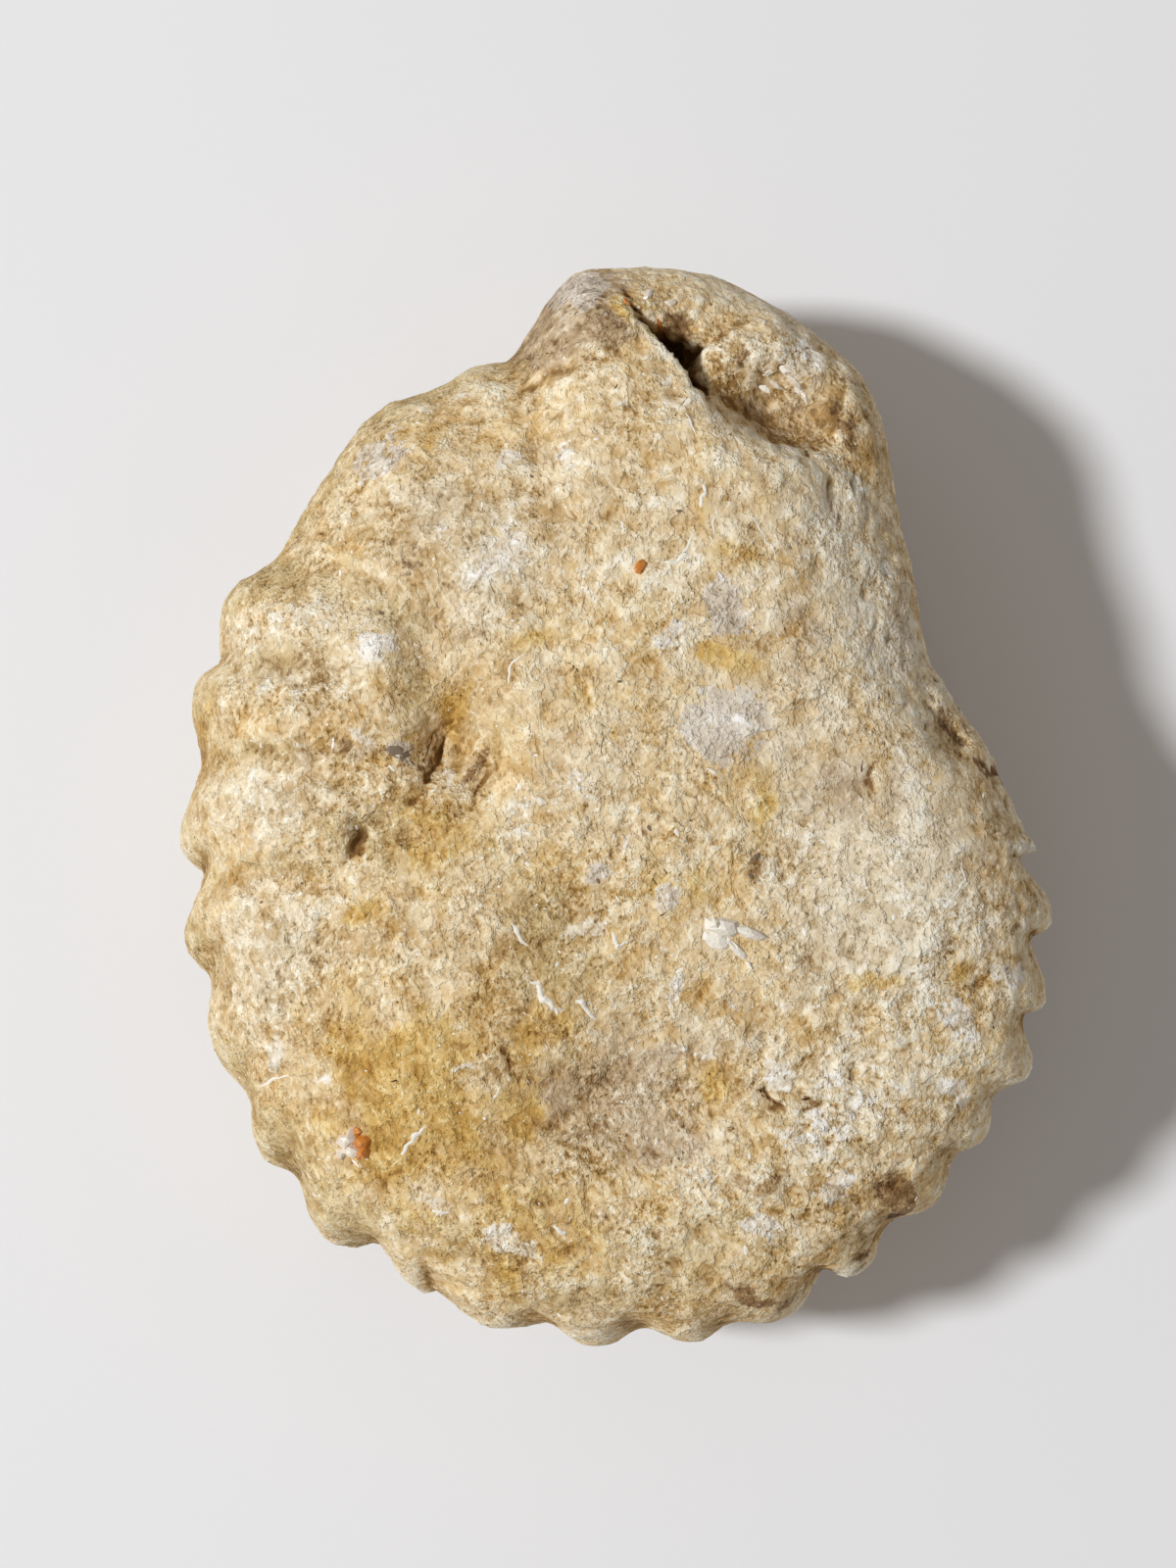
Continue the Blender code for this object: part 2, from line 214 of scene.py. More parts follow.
def furrow_depth(degrees):
    """Depth of the rim below the line over the crests: nought on each crest."""
    stops, phases = [RIBS[0][0]], [0.0]
    for rib, following in zip(RIBS, RIBS[1:] + (AFTER_LAST_RIB,)):
        stops += [rib[2], following[0]]
        phases += [1.0, 0.0]
    phase = np.interp(degrees, stops, phases, left=0.0, right=0.0)
    depth = np.interp(degrees, [rib[2] for rib in RIBS], [rib[3] for rib in RIBS])
    return depth * (0.5 - 0.5 * np.cos(np.pi * phase)) ** FURROW_SHARPNESS


def bell(x, y, spot, flatness=1.0):
    """Round bump of height one over a turned oval spot: a higher flatness squares it off."""
    centre_x, centre_y, half_length, half_width, turn = spot[:5]
    cosine, sine = np.cos(np.radians(turn)), np.sin(np.radians(turn))
    along = ((x - centre_x) * cosine + (y - centre_y) * sine) / half_length
    across = ((y - centre_y) * cosine - (x - centre_x) * sine) / half_width
    return np.exp(-((along ** 2 + across ** 2) ** flatness))


def swells(x, y, spots, flatness=1.0):
    """Sum of the bumps and hollows at points of a face."""
    return sum(spot[5] * bell(x, y, spot, flatness) for spot in spots)


def draw_points(directions):
    """Crowd the ball's points towards the upper face, then towards the crevice."""
    slope = np.arccos(np.clip(directions[:, 2], -1.0, 1.0))
    raised = slope - UPPER_SHARE * np.sin(slope)
    flat = np.hypot(directions[:, 0], directions[:, 1])
    flat[flat == 0.0] = 1.0
    scale = np.sin(raised) / flat
    points = np.column_stack(
        (directions[:, 0] * scale, directions[:, 1] * scale, np.cos(raised))
    )
    aim = np.array(CREVICE_DIRECTION) / np.linalg.norm(CREVICE_DIRECTION)
    lined_up = np.clip(points @ aim, -1.0, 1.0)
    angle = np.arccos(lined_up)
    sideways = points - lined_up[:, None] * aim
    sideways /= np.maximum(np.linalg.norm(sideways, axis=1), TINY)[:, None]
    near = np.clip(1.0 - angle / CREVICE_PULL_RANGE, 0.0, 1.0)
    drawn = angle * (1.0 - CREVICE_PULL * near ** 2)
    return np.cos(drawn)[:, None] * aim + np.sin(drawn)[:, None] * sideways


def rib_direction(x, y):
    """Direction on the rim at which the line from the hub through each point ends."""
    from_hub_x, from_hub_y = x - HUB[0], y - HUB[1]
    stretch = np.ones_like(x)
    for _ in range(RIM_TRIES):
        end_x = HUB[0] + stretch * from_hub_x - OUTLINE_MIDDLE[0]
        end_y = HUB[1] + stretch * from_hub_y - OUTLINE_MIDDLE[1]
        degrees = np.degrees(np.arctan2(end_y, end_x)) % 360.0
        radius = np.maximum(np.hypot(end_x, end_y), 1.0)
        stretch *= np.clip(outline_radius(degrees) / radius, *RIM_STRETCH)
    return degrees


def trace(x, y, path):
    """Distance from each point to a path, the signed distance, and how far along it lies."""
    path = np.array(path, dtype=float)
    lengths = np.linalg.norm(np.diff(path, axis=0), axis=1)
    starts = np.concatenate(((0.0,), np.cumsum(lengths)[:-1])) / lengths.sum()
    best = np.full(x.shape, np.inf)
    signed, along = np.zeros_like(x), np.zeros_like(x)
    for (x0, y0), (x1, y1), length, start in zip(path[:-1], path[1:], lengths, starts):
        direction_x, direction_y = (x1 - x0) / length, (y1 - y0) / length
        part = (x - x0) * direction_x + (y - y0) * direction_y
        side = (y - y0) * direction_x - (x - x0) * direction_y
        clipped = np.clip(part, 0.0, length)
        distance = np.hypot(part - clipped, side)
        nearer = distance < best
        best[nearer] = distance[nearer]
        signed[nearer] = (np.sign(side) * distance)[nearer]
        along[nearer] = (start + clipped / lengths.sum())[nearer]
    return best, signed, along


def creases(x, y):
    """Depth of the furrows and cracks at points of the upper face."""
    depth = np.zeros_like(x)
    for path, half_width, deepest in CREASES:
        distance, _, along = trace(x, y, path)
        taper = np.sin(np.pi * np.clip(along, *TAPER_ENDS)) ** TAPER_POWER
        depth += deepest * taper * np.exp(-((distance / half_width) ** 2))
    return depth


def steps(x, y):
    """Rise of the stepped edges at points of the upper face."""
    rise = np.zeros_like(x)
    for path, height, run, half_width in STEPS:
        distance, signed, along = trace(x, y, path)
        taper = np.sin(np.pi * np.clip(along, 0.0, 1.0)) ** STEP_TAPER_POWER
        edge = 0.5 + 0.5 * np.tanh(signed / half_width)
        rise += height * taper * (edge - 0.5) * np.exp(-distance / run)
    return rise


def folds(x, y):
    """Drop of the faces that turn down past a line."""
    drop = np.zeros_like(x)
    for path, slope, softness, run in FOLDS:
        _, signed, along = trace(x, y, path)
        past = softness * np.logaddexp(0.0, signed / softness)
        taper = np.sin(np.pi * along) ** 2
        drop += slope * np.minimum(FOLD_TAPER_GAIN * taper, 1.0) * run * np.tanh(past / run)
    return drop


def crevice(x, y):
    """Depth of the deep crevice, less the raised lip along it."""
    path = [stop[:2] for stop in CREVICE]
    _, signed, along = trace(x, y, path)
    lengths = np.linalg.norm(np.diff(np.array(path), axis=0), axis=1)
    stops = np.concatenate(((0.0,), np.cumsum(lengths))) / lengths.sum()
    depth = np.interp(along, stops, [stop[2] for stop in CREVICE])
    width = np.interp(along, stops, [stop[3] for stop in CREVICE])
    inside = np.maximum(signed, 0.0)
    wall = 1.0 - np.exp(-((inside / CREVICE_WALL) ** 2))
    deep = (1.0 - BOWL_SHARE) * np.exp(-((inside / width) ** CREVICE_STEEPNESS))
    bowl = BOWL_SHARE * np.exp(-((inside / width / CREVICE_BOWL) ** 2))
    hole = depth * wall * (deep + bowl)
    ends = np.clip(np.minimum(along, 1.0 - along) / CREVICE_ENDS, 0.0, 1.0)
    lip = LIP_RISE * ends * np.exp(-((np.minimum(signed, 0.0) / LIP_WIDTH) ** 2))
    return hole * ends - lip * np.exp(-inside / CREVICE_WALL)


def stir_points(points, size, reach):
    """Points pushed about by a smooth wander, so that spots get ragged edges."""
    moved = np.array([noise.noise_vector(Vector(p) / size) for p in points])
    return points + moved * reach


def shape_stone(directions):
    """Move unit directions out to the surface of the stone, in millimetres."""
    points = draw_points(directions)
    degrees = np.degrees(np.arctan2(points[:, 1], points[:, 0])) % 360.0
    upper = points[:, 2] >= 0.0
    squareness = np.where(upper, round_curve(EDGE_SQUARENESS, degrees), UNDER_SQUARENESS)
    sine = np.hypot(points[:, 0], points[:, 1])
    cosine = np.abs(points[:, 2])
    spread = (sine ** squareness + cosine ** squareness) ** (-1.0 / squareness)
    outward, lift = sine * spread, cosine * spread

    radius = outline_radius(degrees)
    angle = np.radians(degrees)
    x = OUTLINE_MIDDLE[0] + outward * radius * np.cos(angle)
    y = OUTLINE_MIDDLE[1] + outward * radius * np.sin(angle)
    top = UPPER_FACE_HEIGHT + swells(x, y, UPPER_SWELLS)
    bottom = UNDERSIDE_SAG + swells(x, y, UNDER_SWELLS)
    z = RIM_HEIGHT + lift * np.where(upper, top - RIM_HEIGHT, bottom - RIM_HEIGHT)

    facing_out = outward ** (squareness - 1.0) / NOMINAL_RADIUS
    facing_up = lift ** (squareness - 1.0) / NOMINAL_HALF_THICKNESS
    facing = np.hypot(facing_out, facing_up)
    facing_up = np.where(upper, facing_up, -facing_up) / facing
    facing_out = facing_out / facing

    from_rim = (1.0 - outward) * radius
    reach = np.where(upper, round_curve(UPPER_FURROW_REACH, degrees), UNDER_FURROW_REACH)
    fade = np.exp(-((from_rim / reach) ** 2)) * (1.0 - bell(x, y, HUB_CLEARING))
    lean = RIB_LEAN * (z - RIM_HEIGHT) / NOMINAL_HALF_THICKNESS
    furrow = furrow_depth(rib_direction(x, y) + lean) * fade
    x = x - furrow * facing_out * np.cos(angle)
    y = y - furrow * facing_out * np.sin(angle)
    z = z - furrow * facing_up
    ragged = stir_points(np.column_stack((x, y, np.zeros_like(x))), RAGGED_SIZE, RAGGED_REACH)
    torn_x, torn_y = ragged[:, 0], ragged[:, 1]
    relief = steps(torn_x, torn_y) - crevice(torn_x, torn_y) - creases(torn_x, torn_y)
    relief -= folds(x, y)
    z = np.where(upper, z + relief * np.clip(RELIEF_GAIN * facing_up, 0.0, 1.0), z)
    return np.column_stack((x, y, np.maximum(z, 0.0)))


def fit_to_box(points, low, high):
    """Fill the solid's box exactly."""
    own_low, own_high = points.min(axis=0), points.max(axis=0)
    return low + (points - own_low) * (high - low) / (own_high - own_low)


def ball_mesh(name):
    """Cube cut into squares, ready to be rounded into a ball."""
    shell = bmesh.new()
    bmesh.ops.create_cube(shell, size=2.0)
    bmesh.ops.subdivide_edges(shell, edges=shell.edges[:], cuts=ROWS - 1, use_grid_fill=True)
    mesh = bpy.data.meshes.new(name)
    shell.to_mesh(mesh)
    shell.free()
    return mesh


def new_piece(collection, name, mesh):
    """Object of a mesh, in the collection."""
    piece = bpy.data.objects.new(name, mesh)
    collection.objects.link(piece)
    return piece


def read_points(mesh):
    """A mesh's points as rows of x, y, z."""
    values = np.empty(len(mesh.vertices) * 3)
    mesh.vertices.foreach_get("co", values)
    return values.reshape(-1, 3)


def write_points(mesh, points):
    """Put rows of x, y, z back into a mesh."""
    mesh.vertices.foreach_set("co", np.ascontiguousarray(points).ravel())
    mesh.update()


def store(mesh, name, values):
    """Keep one number for each point under a name."""
    field = mesh.attributes.get(name) or mesh.attributes.new(name, "FLOAT", "POINT")
    field.data.foreach_set("value", np.asarray(values, dtype=np.float32))


# ---------------------------------------------------------------- node helpers
WANDER_DETAIL = 2.0
BRIGHTEST = 255.0
DISPLAY_GAMMA = 2.2


class Wiring:
    """Adds nodes to one tree and joins them up."""

    def __init__(self, tree):
        self.tree = tree

    def add(self, kind, inputs=None, **settings):
        """New node: settings are its own fields, inputs are values or sockets to join."""
        node = self.tree.nodes.new(kind)
        for name, value in settings.items():
            setattr(node, name, value)
        for key, value in (inputs or {}).items():
            if isinstance(value, bpy.types.Node):
                value = value.outputs[0]
            if isinstance(value, bpy.types.NodeSocket):
                self.tree.links.new(value, node.inputs[key])
            else:
                node.inputs[key].default_value = value
        return node

    def math(self, operation, first, second=0.0):
        """One sum."""
        node = self.add("ShaderNodeMath", {0: first, 1: second}, operation=operation)
        return node.outputs[0]

    def field(self, name):
        """A number kept with each point of the mesh."""
        node = self.add("GeometryNodeInputNamedAttribute", {"Name": name}, data_type="FLOAT")
        return node.outputs[0]

    def total(self, *terms):
        """Sum of several values."""
        result = terms[0]
        for term in terms[1:]:
            result = self.math("ADD", result, term)
        return result

    def swing(self, value, amount, middle=0.5):
        """How far a value is from its middle, times an amount."""
        return self.math("MULTIPLY", self.math("SUBTRACT", value, middle), amount)

    def between(self, value, low, high, to_low=0.0, to_high=1.0):
        """Soft step from one value to another as the input crosses a range."""
        inputs = {"Value": value, "From Min": low, "From Max": high,
                  "To Min": to_low, "To Max": to_high}
        return self.add("ShaderNodeMapRange", inputs, interpolation_type="SMOOTHSTEP").outputs[0]

    @staticmethod
    def per(size):
        """Pattern scale that gives features of a size; a socket holds the scale itself."""
        return size if isinstance(size, bpy.types.NodeSocket) else 1.0 / size

    def noise(self, place, size, detail=3.0, roughness=0.55):
        """Cloudy pattern whose features are about the given size."""
        inputs = {"Vector": place, "Scale": self.per(size), "Detail": detail,
                  "Roughness": roughness}
        return self.add("ShaderNodeTexNoise", inputs)

    def cells(self, place, size):
        """Broken pattern of cells about the given size."""
        return self.add("ShaderNodeTexVoronoi", {"Vector": place, "Scale": self.per(size)})

    def blend(self, amount, first, second):
        """Mix of two colours."""
        node = self.add("ShaderNodeMix", {0: amount, 6: first, 7: second}, data_type="RGBA")
        return node.outputs[2]

    def vector(self, operation, first, second):
        """One vector sum: scaling takes a number, the others another vector."""
        key = "Scale" if operation == "SCALE" else 1
        node = self.add("ShaderNodeVectorMath", {0: first, key: second}, operation=operation)
        return node.outputs[0]

    def wander(self, place, size, reach):
        """Place pushed about by a cloudy pattern."""
        stir = self.noise(place, size, WANDER_DETAIL).outputs["Color"]
        stir = self.vector("SUBTRACT", stir, (0.5, 0.5, 0.5))
        return self.vector("ADD", place, self.vector("SCALE", stir, reach))

    def finish(self, geometry, material):
        """End of a geometry tree: loose copies made real, in one material."""
        realized = self.add("GeometryNodeRealizeInstances", {0: geometry})
        finished = self.add("GeometryNodeSetMaterial", {"Geometry": realized, "Material": material})
        self.add("NodeGroupOutput", {0: finished})

    def ramp(self, value, tones):
        """Colour read from evenly spaced tones, dark to light."""
        node = self.add("ShaderNodeValToRGB", {0: value})
        stops = node.color_ramp.elements
        for index, tone in enumerate(tones):
            at = index / (len(tones) - 1)
            stop = stops[index] if index in (0, 1) else stops.new(at)
            stop.position = at
            stop.color = linear(tone)
        return node.outputs[0]


def linear(tone):
    """Scene colour of an everyday 0 to 255 colour."""
    return tuple((part / BRIGHTEST) ** DISPLAY_GAMMA for part in tone) + (1.0,)


def new_tree(name, inputs):
    """Geometry node tree with a geometry input, named inputs and a geometry output."""
    tree = bpy.data.node_groups.new(name, "GeometryNodeTree")
    tree.interface.new_socket("Geometry", in_out="INPUT", socket_type="NodeSocketGeometry")
    for label, kind, value in inputs:
        socket = tree.interface.new_socket(label, in_out="INPUT", socket_type=kind)
        if value is not None:
            socket.default_value = value
    tree.interface.new_socket("Geometry", in_out="OUTPUT", socket_type="NodeSocketGeometry")
    return tree


def run_tree(thing, tree, values):
    """Result of a node tree on an object, as a plain mesh; values go in by socket name."""
    modifier = thing.modifiers.new(tree.name, "NODES")
    modifier.node_group = tree
    for item in tree.interface.items_tree:
        if item.in_out == "INPUT" and item.name in values:
            modifier[item.identifier] = values[item.name]
    graph = bpy.context.evaluated_depsgraph_get()
    result = bpy.data.meshes.new_from_object(thing.evaluated_get(graph), depsgraph=graph)
    thing.modifiers.remove(modifier)
    return result


# ---------------------------------------------------------------- the stone's skin
SKIN = {
    "Lump Size": 11.0 * MM, "Lump Height": 2.0 * MM,
    "Knot Size": 4.6 * MM, "Knot Height": 1.5 * MM,
    "Chip Size": 2.6 * MM, "Chip Height": 0.34 * MM,
    "Flake Size": 1.4 * MM, "Flake Height": 0.24 * MM,
    "Grain Size": 1.1 * MM, "Grain Height": 0.36 * MM,
}
SKIN_STIR = 0.6
BARE_KNOTS = 0.35


def skin_tree():
    """Uneven, flaked skin pushed out along the stone's own faces."""
    sizes = [(name, "NodeSocketFloat", value) for name, value in SKIN.items()]
    tree = new_tree("stone_skin", sizes + [("Material", "NodeSocketMaterial", None)])
    w = Wiring(tree)
    given = w.add("NodeGroupInput").outputs
    place = w.add("GeometryNodeInputPosition").outputs[0]

    def per(kind):
        """Pattern scale of one kind of unevenness."""
        return w.math("DIVIDE", 1.0, given[kind + " Size"])

    stirred = w.wander(place, per("Chip"), w.math("MULTIPLY", given["Chip Size"], SKIN_STIR))

    def cell_height(kind):
        """Flat-topped pieces, each at its own height."""
        cell = w.cells(stirred, per(kind)).outputs["Color"]
        split = w.add("FunctionNodeSeparateColor", {0: cell}).outputs[0]
        return w.swing(split, given[kind + " Height"])

    def cloud_height(kind, detail):
        """Soft humps and dips."""
        cloud = w.noise(stirred, per(kind), detail=detail, roughness=0.6).outputs[0]
        return w.swing(cloud, given[kind + " Height"])

    lump = cloud_height("Lump", 2.0)
    knotty = w.math("ADD", w.field("crust"), BARE_KNOTS)
    knot = w.math("MULTIPLY", cloud_height("Knot", 2.0), knotty)
    broken = w.math("ADD", cell_height("Chip"), cell_height("Flake"))
    fine = w.math("ADD", broken, cloud_height("Grain", 3.0))
    fine = w.math("MULTIPLY", fine, w.field("rough"))
    rise = w.total(lump, knot, fine)
    normal = w.add("GeometryNodeInputNormal").outputs[0]
    moved = w.add("GeometryNodeSetPosition", {
        "Geometry": given["Geometry"], "Offset": w.vector("SCALE", normal, rise)})
    w.finish(moved, given["Material"])
    return tree


# ---------------------------------------------------------------- stains, painted light and painted shade
# Spots on the upper face: (x, y, half length, half width, turn, strength).
STAINS_AND_PAINTED_SHADE = {
    "ochre": (
        (-18, -50, 24, 17, 0, 0.28), (-26, -37, 6, 5, -20, 0.6), (-13.6, -63, 8, 5, 10, 0.5),
        (-28.6, -7.6, 5, 4, 0, 0.5), (-11, -12, 9, 8, 20, 0.35), (4, -12.4, 4, 4, 0, 0.75),
        (-31, -44, 3.6, 9, -10, 1.1), (-34, -42, 11, 5.5, -8, 0.75), (-35, -51, 8, 6, 0, 0.6),
        (-21, -51, 5, 5, 0, 0.55), (-14.5, -46, 2.6, 4.5, 0, 0.6), (-41, -31, 9, 6, 0, 0.45),
        (16.5, 19.2, 5.6, 2.2, 0, 0.85), (12.9, 19.2, 1.8, 1.5, 0, 0.9),
        (17.5, 33.5, 4.2, 3.2, -20, 0.8), (12.4, 41, 2.2, 3.2, 0, 0.6),
        (-27.3, 52, 1.8, 5, 0, 0.7), (-11.5, 22, 3.4, 2, -10, 0.75), (-15, 20, 3, 2.4, 40, 0.5),
        (-23.9, 11.5, 2.5, 5, 10, 1.1), (-25, -5, 5, 6, 0, 0.6), (-37, -17.6, 4.5, 1.8, 10, 0.8),
        (12.1, -15, 3, 4, 20, 0.75), (14.3, -43, 3.2, 4.2, 30, 0.85), (37, -27.5, 5, 1.1, 8, 0.9),
        (48.9, -27, 2.6, 1.5, 0, 1), (1.2, 73.2, 1.1, 2, -30, 1), (5, 68.6, 3.6, 1.3, -45, 1.1),
        (5.6, 73.6, 3.4, 1.4, -40, 0.7), (-15.4, -70.5, 2.6, 1.8, 0, 0.8),
        (-12, -35, 5, 4.5, 0, 0.7), (-1.1, 7.4, 0.7, 1.4, 0, 1), (20, -4, 1.4, 5, 10, 0.6),
        (-62, 11, 1.4, 5, 0, 0.7), (-6, -66, 7, 3, 0, 0.45), (-30, -62, 7, 3, -35, 0.4),
        (20, 0, 4, 8, 10, 0.35), (3, 26, 4, 6, 0, 0.3), (-4, 14, 6, 5, 0, 0.35),
    ),
    # Khaki: real tan stains, and painted shade along the furrows between the left lobes and on the
    # upper edge of the first lobe.
    "khaki": (
        (-52, -51, 8, 6, -45, 0.95), (-41, -61, 9, 6, -30, 0.95), (-64, 13, 5, 7, 0, 0.9),
        (-66, -7, 5, 7, 0, 0.9), (-64, -22, 5, 7, 0, 0.9), (-59, -38, 5, 7, 20, 0.8),
        (-60, 30, 7, 5, 50, 0.7), (-48, 45, 9, 4.5, 52, 0.9), (-34, 58, 10, 4.5, 38, 0.9),
        (-19, 68, 9, 4, 20, 0.8), (-28, -38, 7, 5, 10, 0.6), (-8, -28, 12, 9, -30, 0.5),
        (10, -66, 12, 7, 10, 0.6), (-30, -9, 6, 5, 0, 0.6), (-18, 11, 5, 6, 0, 0.5),
        (-12, -60, 10, 6, 10, 0.5), (-50, 32.5, 9, 3.2, -8, 0.75), (-34, 27.5, 8, 3.6, -25, 0.75),
        (-29, 14, 6, 5, 0, 0.7), (-40, -6, 5, 3.6, 0, 0.75), (-11.8, -17.5, 6.5, 7, 0, 0.75),
        (35.7, -51.7, 4, 2, 0, 0.75), (-11.2, 72, 2.6, 7, -35, 1.2), (-22, -66, 7, 4, -15, 0.6),
        (-49, 20.5, 10, 2.6, 12, 0.7), (-50, 6.5, 10, 2.6, 4, 0.7), (-50, -10.5, 9, 2.6, 4, 0.6),
        (-7, -73, 8, 3, 0, 0.6), (-33, -5, 4, 8, 0, 0.5), (-20, -6, 5, 6, 0, 0.5),
        (-14, 52, 7, 5, 20, 0.25), (-38, 38, 5, 4, 0, 0.4),
    ),
    "pale": (
        (-34, 44, 12, 8, 45, 0.3), (-10, 46, 9, 12, 0, 0.2), (44, -12, 13, 16, 0, 0.75),
        (31, -21, 8, 6, 0, 0.4), (-26, 41, 6, 6, 0, 0.5), (-52, -33, 6, 6, 0, 0.5),
        (32, -42, 18, 13, -20, 0.35), (38, 28, 9, 26, 28, 0.5), (8, 42, 17, 18, 0, 0.3),
        (20, 20, 12, 14, 0, 0.3), (26, 4, 9, 12, 0, 0.5), (34, -14, 10, 12, 0, 0.35),
        (-48, 20, 15, 9, 8, 0.6), (-50, -1, 13, 7, 5, 0.6), (-50, -22, 12, 9, 0, 0.6),
        (27, 66, 14, 9, -30, 0.5), (-20, 30, 10, 12, -35, 0.6), (-5, 3, 8, 8, 0, 0.5),
        (4, -34, 14, 5, -20, 0.4),
    ),
    "grey": (
        (16, 25.5, 4.3, 3.6, 0, 1.1), (16, 9.6, 6.4, 6.2, -40, 1.1), (-35.5, 50.5, 6, 4, 40, 0.6),
        (-31.5, 5.6, 3.2, 1.6, -30, 0.9), (6.5, 22.5, 2, 1.6, 0, 0.6),
        (-2.5, -12.5, 1.8, 3, -20, 0.7), (5.8, -15.5, 3, 3, 0, 0.6), (33, -58, 3, 3, 0, 0.5),
        (-5, 76, 4.5, 5, 20, 0.85), (-17.5, 34, 3.6, 7, -35, 0.4),
    ),
    "dun": (
        (0, -43, 15, 8.5, 10, 0.62), (-12, -44, 6, 7, 0, 0.5), (-11, 50, 6, 7, 30, 0.2),
        (33, 1, 7, 6, 0, 0.5), (27, 22, 4, 6, 0, 0.6), (-42, 6, 8, 2.2, 0, 0.5),
        (22, 55, 9, 4, -25, 0.5), (8, -52, 8, 5, 0, 0.6), (-4.5, 74, 7.5, 7.5, 0, 1.5),
        (-9, 68, 4, 5, 0, 0.8), (-8, 68, 5.5, 3, 25, 0.8), (27, 70, 9, 7, -30, 0.25),
        (41, 26, 5, 22, 28, 0.3),
    ),
    "white": (
        (-35.3, 20.9, 3.2, 2.7, 0, 1.3), (-50, 26.5, 6, 3, 8, 0.55), (-47, 14.5, 8, 2.6, 6, 0.5),
        (-50, -1.5, 8, 2.4, 6, 0.5), (-17.5, 33.5, 4.6, 8.5, -35, 0.85),
        (-24.3, 38.6, 1.8, 2.6, 0, 0.9), (-5.5, 2, 4.6, 6, 0, 0.5), (27.5, 65, 4, 5, -40, 1.15),
        (23.3, -40.6, 3, 2, 0, 1.1), (30.3, -41.9, 2.8, 1.5, 0, 1.1),
        (50, -33.7, 4.6, 3.4, -30, 1.15), (56.4, -25.7, 3.4, 2.2, 0, 1.1),
        (48.6, -43.6, 2.6, 2.2, 0, 1), (32, -56.1, 3, 2.6, 0, 1), (21.6, -63.1, 3.4, 2.6, 0, 1),
        (33, -10, 9, 8, 0, 0.45), (-49.3, -38.9, 1.6, 2.8, 0, 1), (-14.2, -64.7, 6, 3, -18, 0.8),
        (18.2, 9.4, 4.6, 0.6, -36, 1.1), (-10.6, -30.2, 4.8, 0.7, -53, 1.1),
        (-4.4, -31.3, 3, 0.6, -46, 1), (9.5, -28, 0.9, 3, 5, 1), (17, -32, 3, 0.8, -50, 0.9),
        (-7.8, 49, 1.6, 2.4, 0, 0.8), (-15.8, 50.2, 4.6, 1.6, 20, 0.95),
        (1.7, 57.5, 2.6, 0.8, 0, 0.8), (-22.2, 60.6, 2.6, 1.2, -10, 0.8), (38, -44, 5, 4, 0, 0.5),
        (27, -50, 8, 3, 20, 0.6), (14, -58, 3, 4, 0, 0.5), (-27, -60, 3, 3.4, 0, 0.6),
        (-22, -40, 3, 1, -20, 0.8), (-44, -41, 3, 1.2, 30, 0.6), (-14, -3, 6, 3.6, 20, 0.6),
        (-3.5, -21, 6, 2.4, -10, 0.6), (10, -37, 7, 2, -30, 0.5), (7, 60, 2, 2, 0, 0.6),
        (36, 46, 1.6, 3, 20, 0.7), (39.6, 33, 1.2, 3, 20, 0.7), (41, 3, 2, 8, 30, 0.45),
        (47, -18, 6, 5, 0, 0.5), (-38.5, 8.3, 2.4, 0.6, 0, 1.1), (-46, 8.6, 2, 0.6, 10, 0.9),
        (-24.4, 2.6, 0.6, 2, 0, 0.9),
    ),
    # Brown: real brown stains, and painted shade laid in the crevice hole, the umbilicus creases,
    # the valley under the lump, the hollows on the right rim and the upper edge of the first lobe.
    "brown": (
        (-34, 33, 8, 3, -28, 0.3), (-24, 24, 4, 5, 30, 0.26), (-20.5, 12, 3, 7, 0, 0.3),
        (-27, -8, 5, 4.5, 0, 0.3), (16, 57.5, 7, 3, -30, 0.3), (34.5, 55, 2.2, 5, 10, 0.6),
        (-5, 75, 7, 6, 0, 0.33), (10, 73, 8, 3, -20, 0.28), (19.7, -10.4, 1.7, 2.4, 0, 0.85),
        (20.2, -56.9, 5, 1.2, 0, 0.7), (39.7, -58.1, 3.6, 2.4, 0, 0.8),
        (41.5, -59.5, 2, 2.2, 0, 1.3), (21, -74, 6, 1.3, -28, 0.9),
        (55.3, 3.8, 0.6, 1.8, 25, 1.2), (57.4, 1, 0.6, 2, 15, 1.2), (49.6, 10, 2.2, 4, 35, 0.75),
        (21, -43.6, 2, 0.6, -40, 1), (27.4, -44.3, 1.6, 0.6, 25, 1),
        (-30.2, 35.6, 3, 3.6, 0, 0.35), (8.8, 68.6, 2.6, 3.4, 40, 1.2), (12, 62, 1.2, 3, 20, 0.9),
        (18.5, 66, 2, 1.2, -40, 0.6), (20, 57.5, 7, 2, -24, 0.15),
        (-17, -38.5, 0.8, 3.4, 10, 0.6), (-27.2, 6.6, 0.9, 4.6, -12, 0.75),
        (-20.4, 3.4, 0.9, 3.6, -32, 0.7), (-38.4, -5.4, 0.9, 3.6, -6, 0.6),
        (36, -68, 2, 1.4, -40, 0.9), (-16.2, 17, 0.6, 3, 0, 0.6), (-5, 16, 0.6, 3, 20, 0.6),
        (-8.2, 14.3, 1, 1.4, 0, 0.5), (7.4, -5.5, 0.7, 1.2, 0, 0.7), (3.6, -6, 0.6, 1.6, 20, 0.7),
        (22, -56, 1.4, 1, 0, 0.7), (56, -15, 2, 3, 0, 0.4),
    ),
}
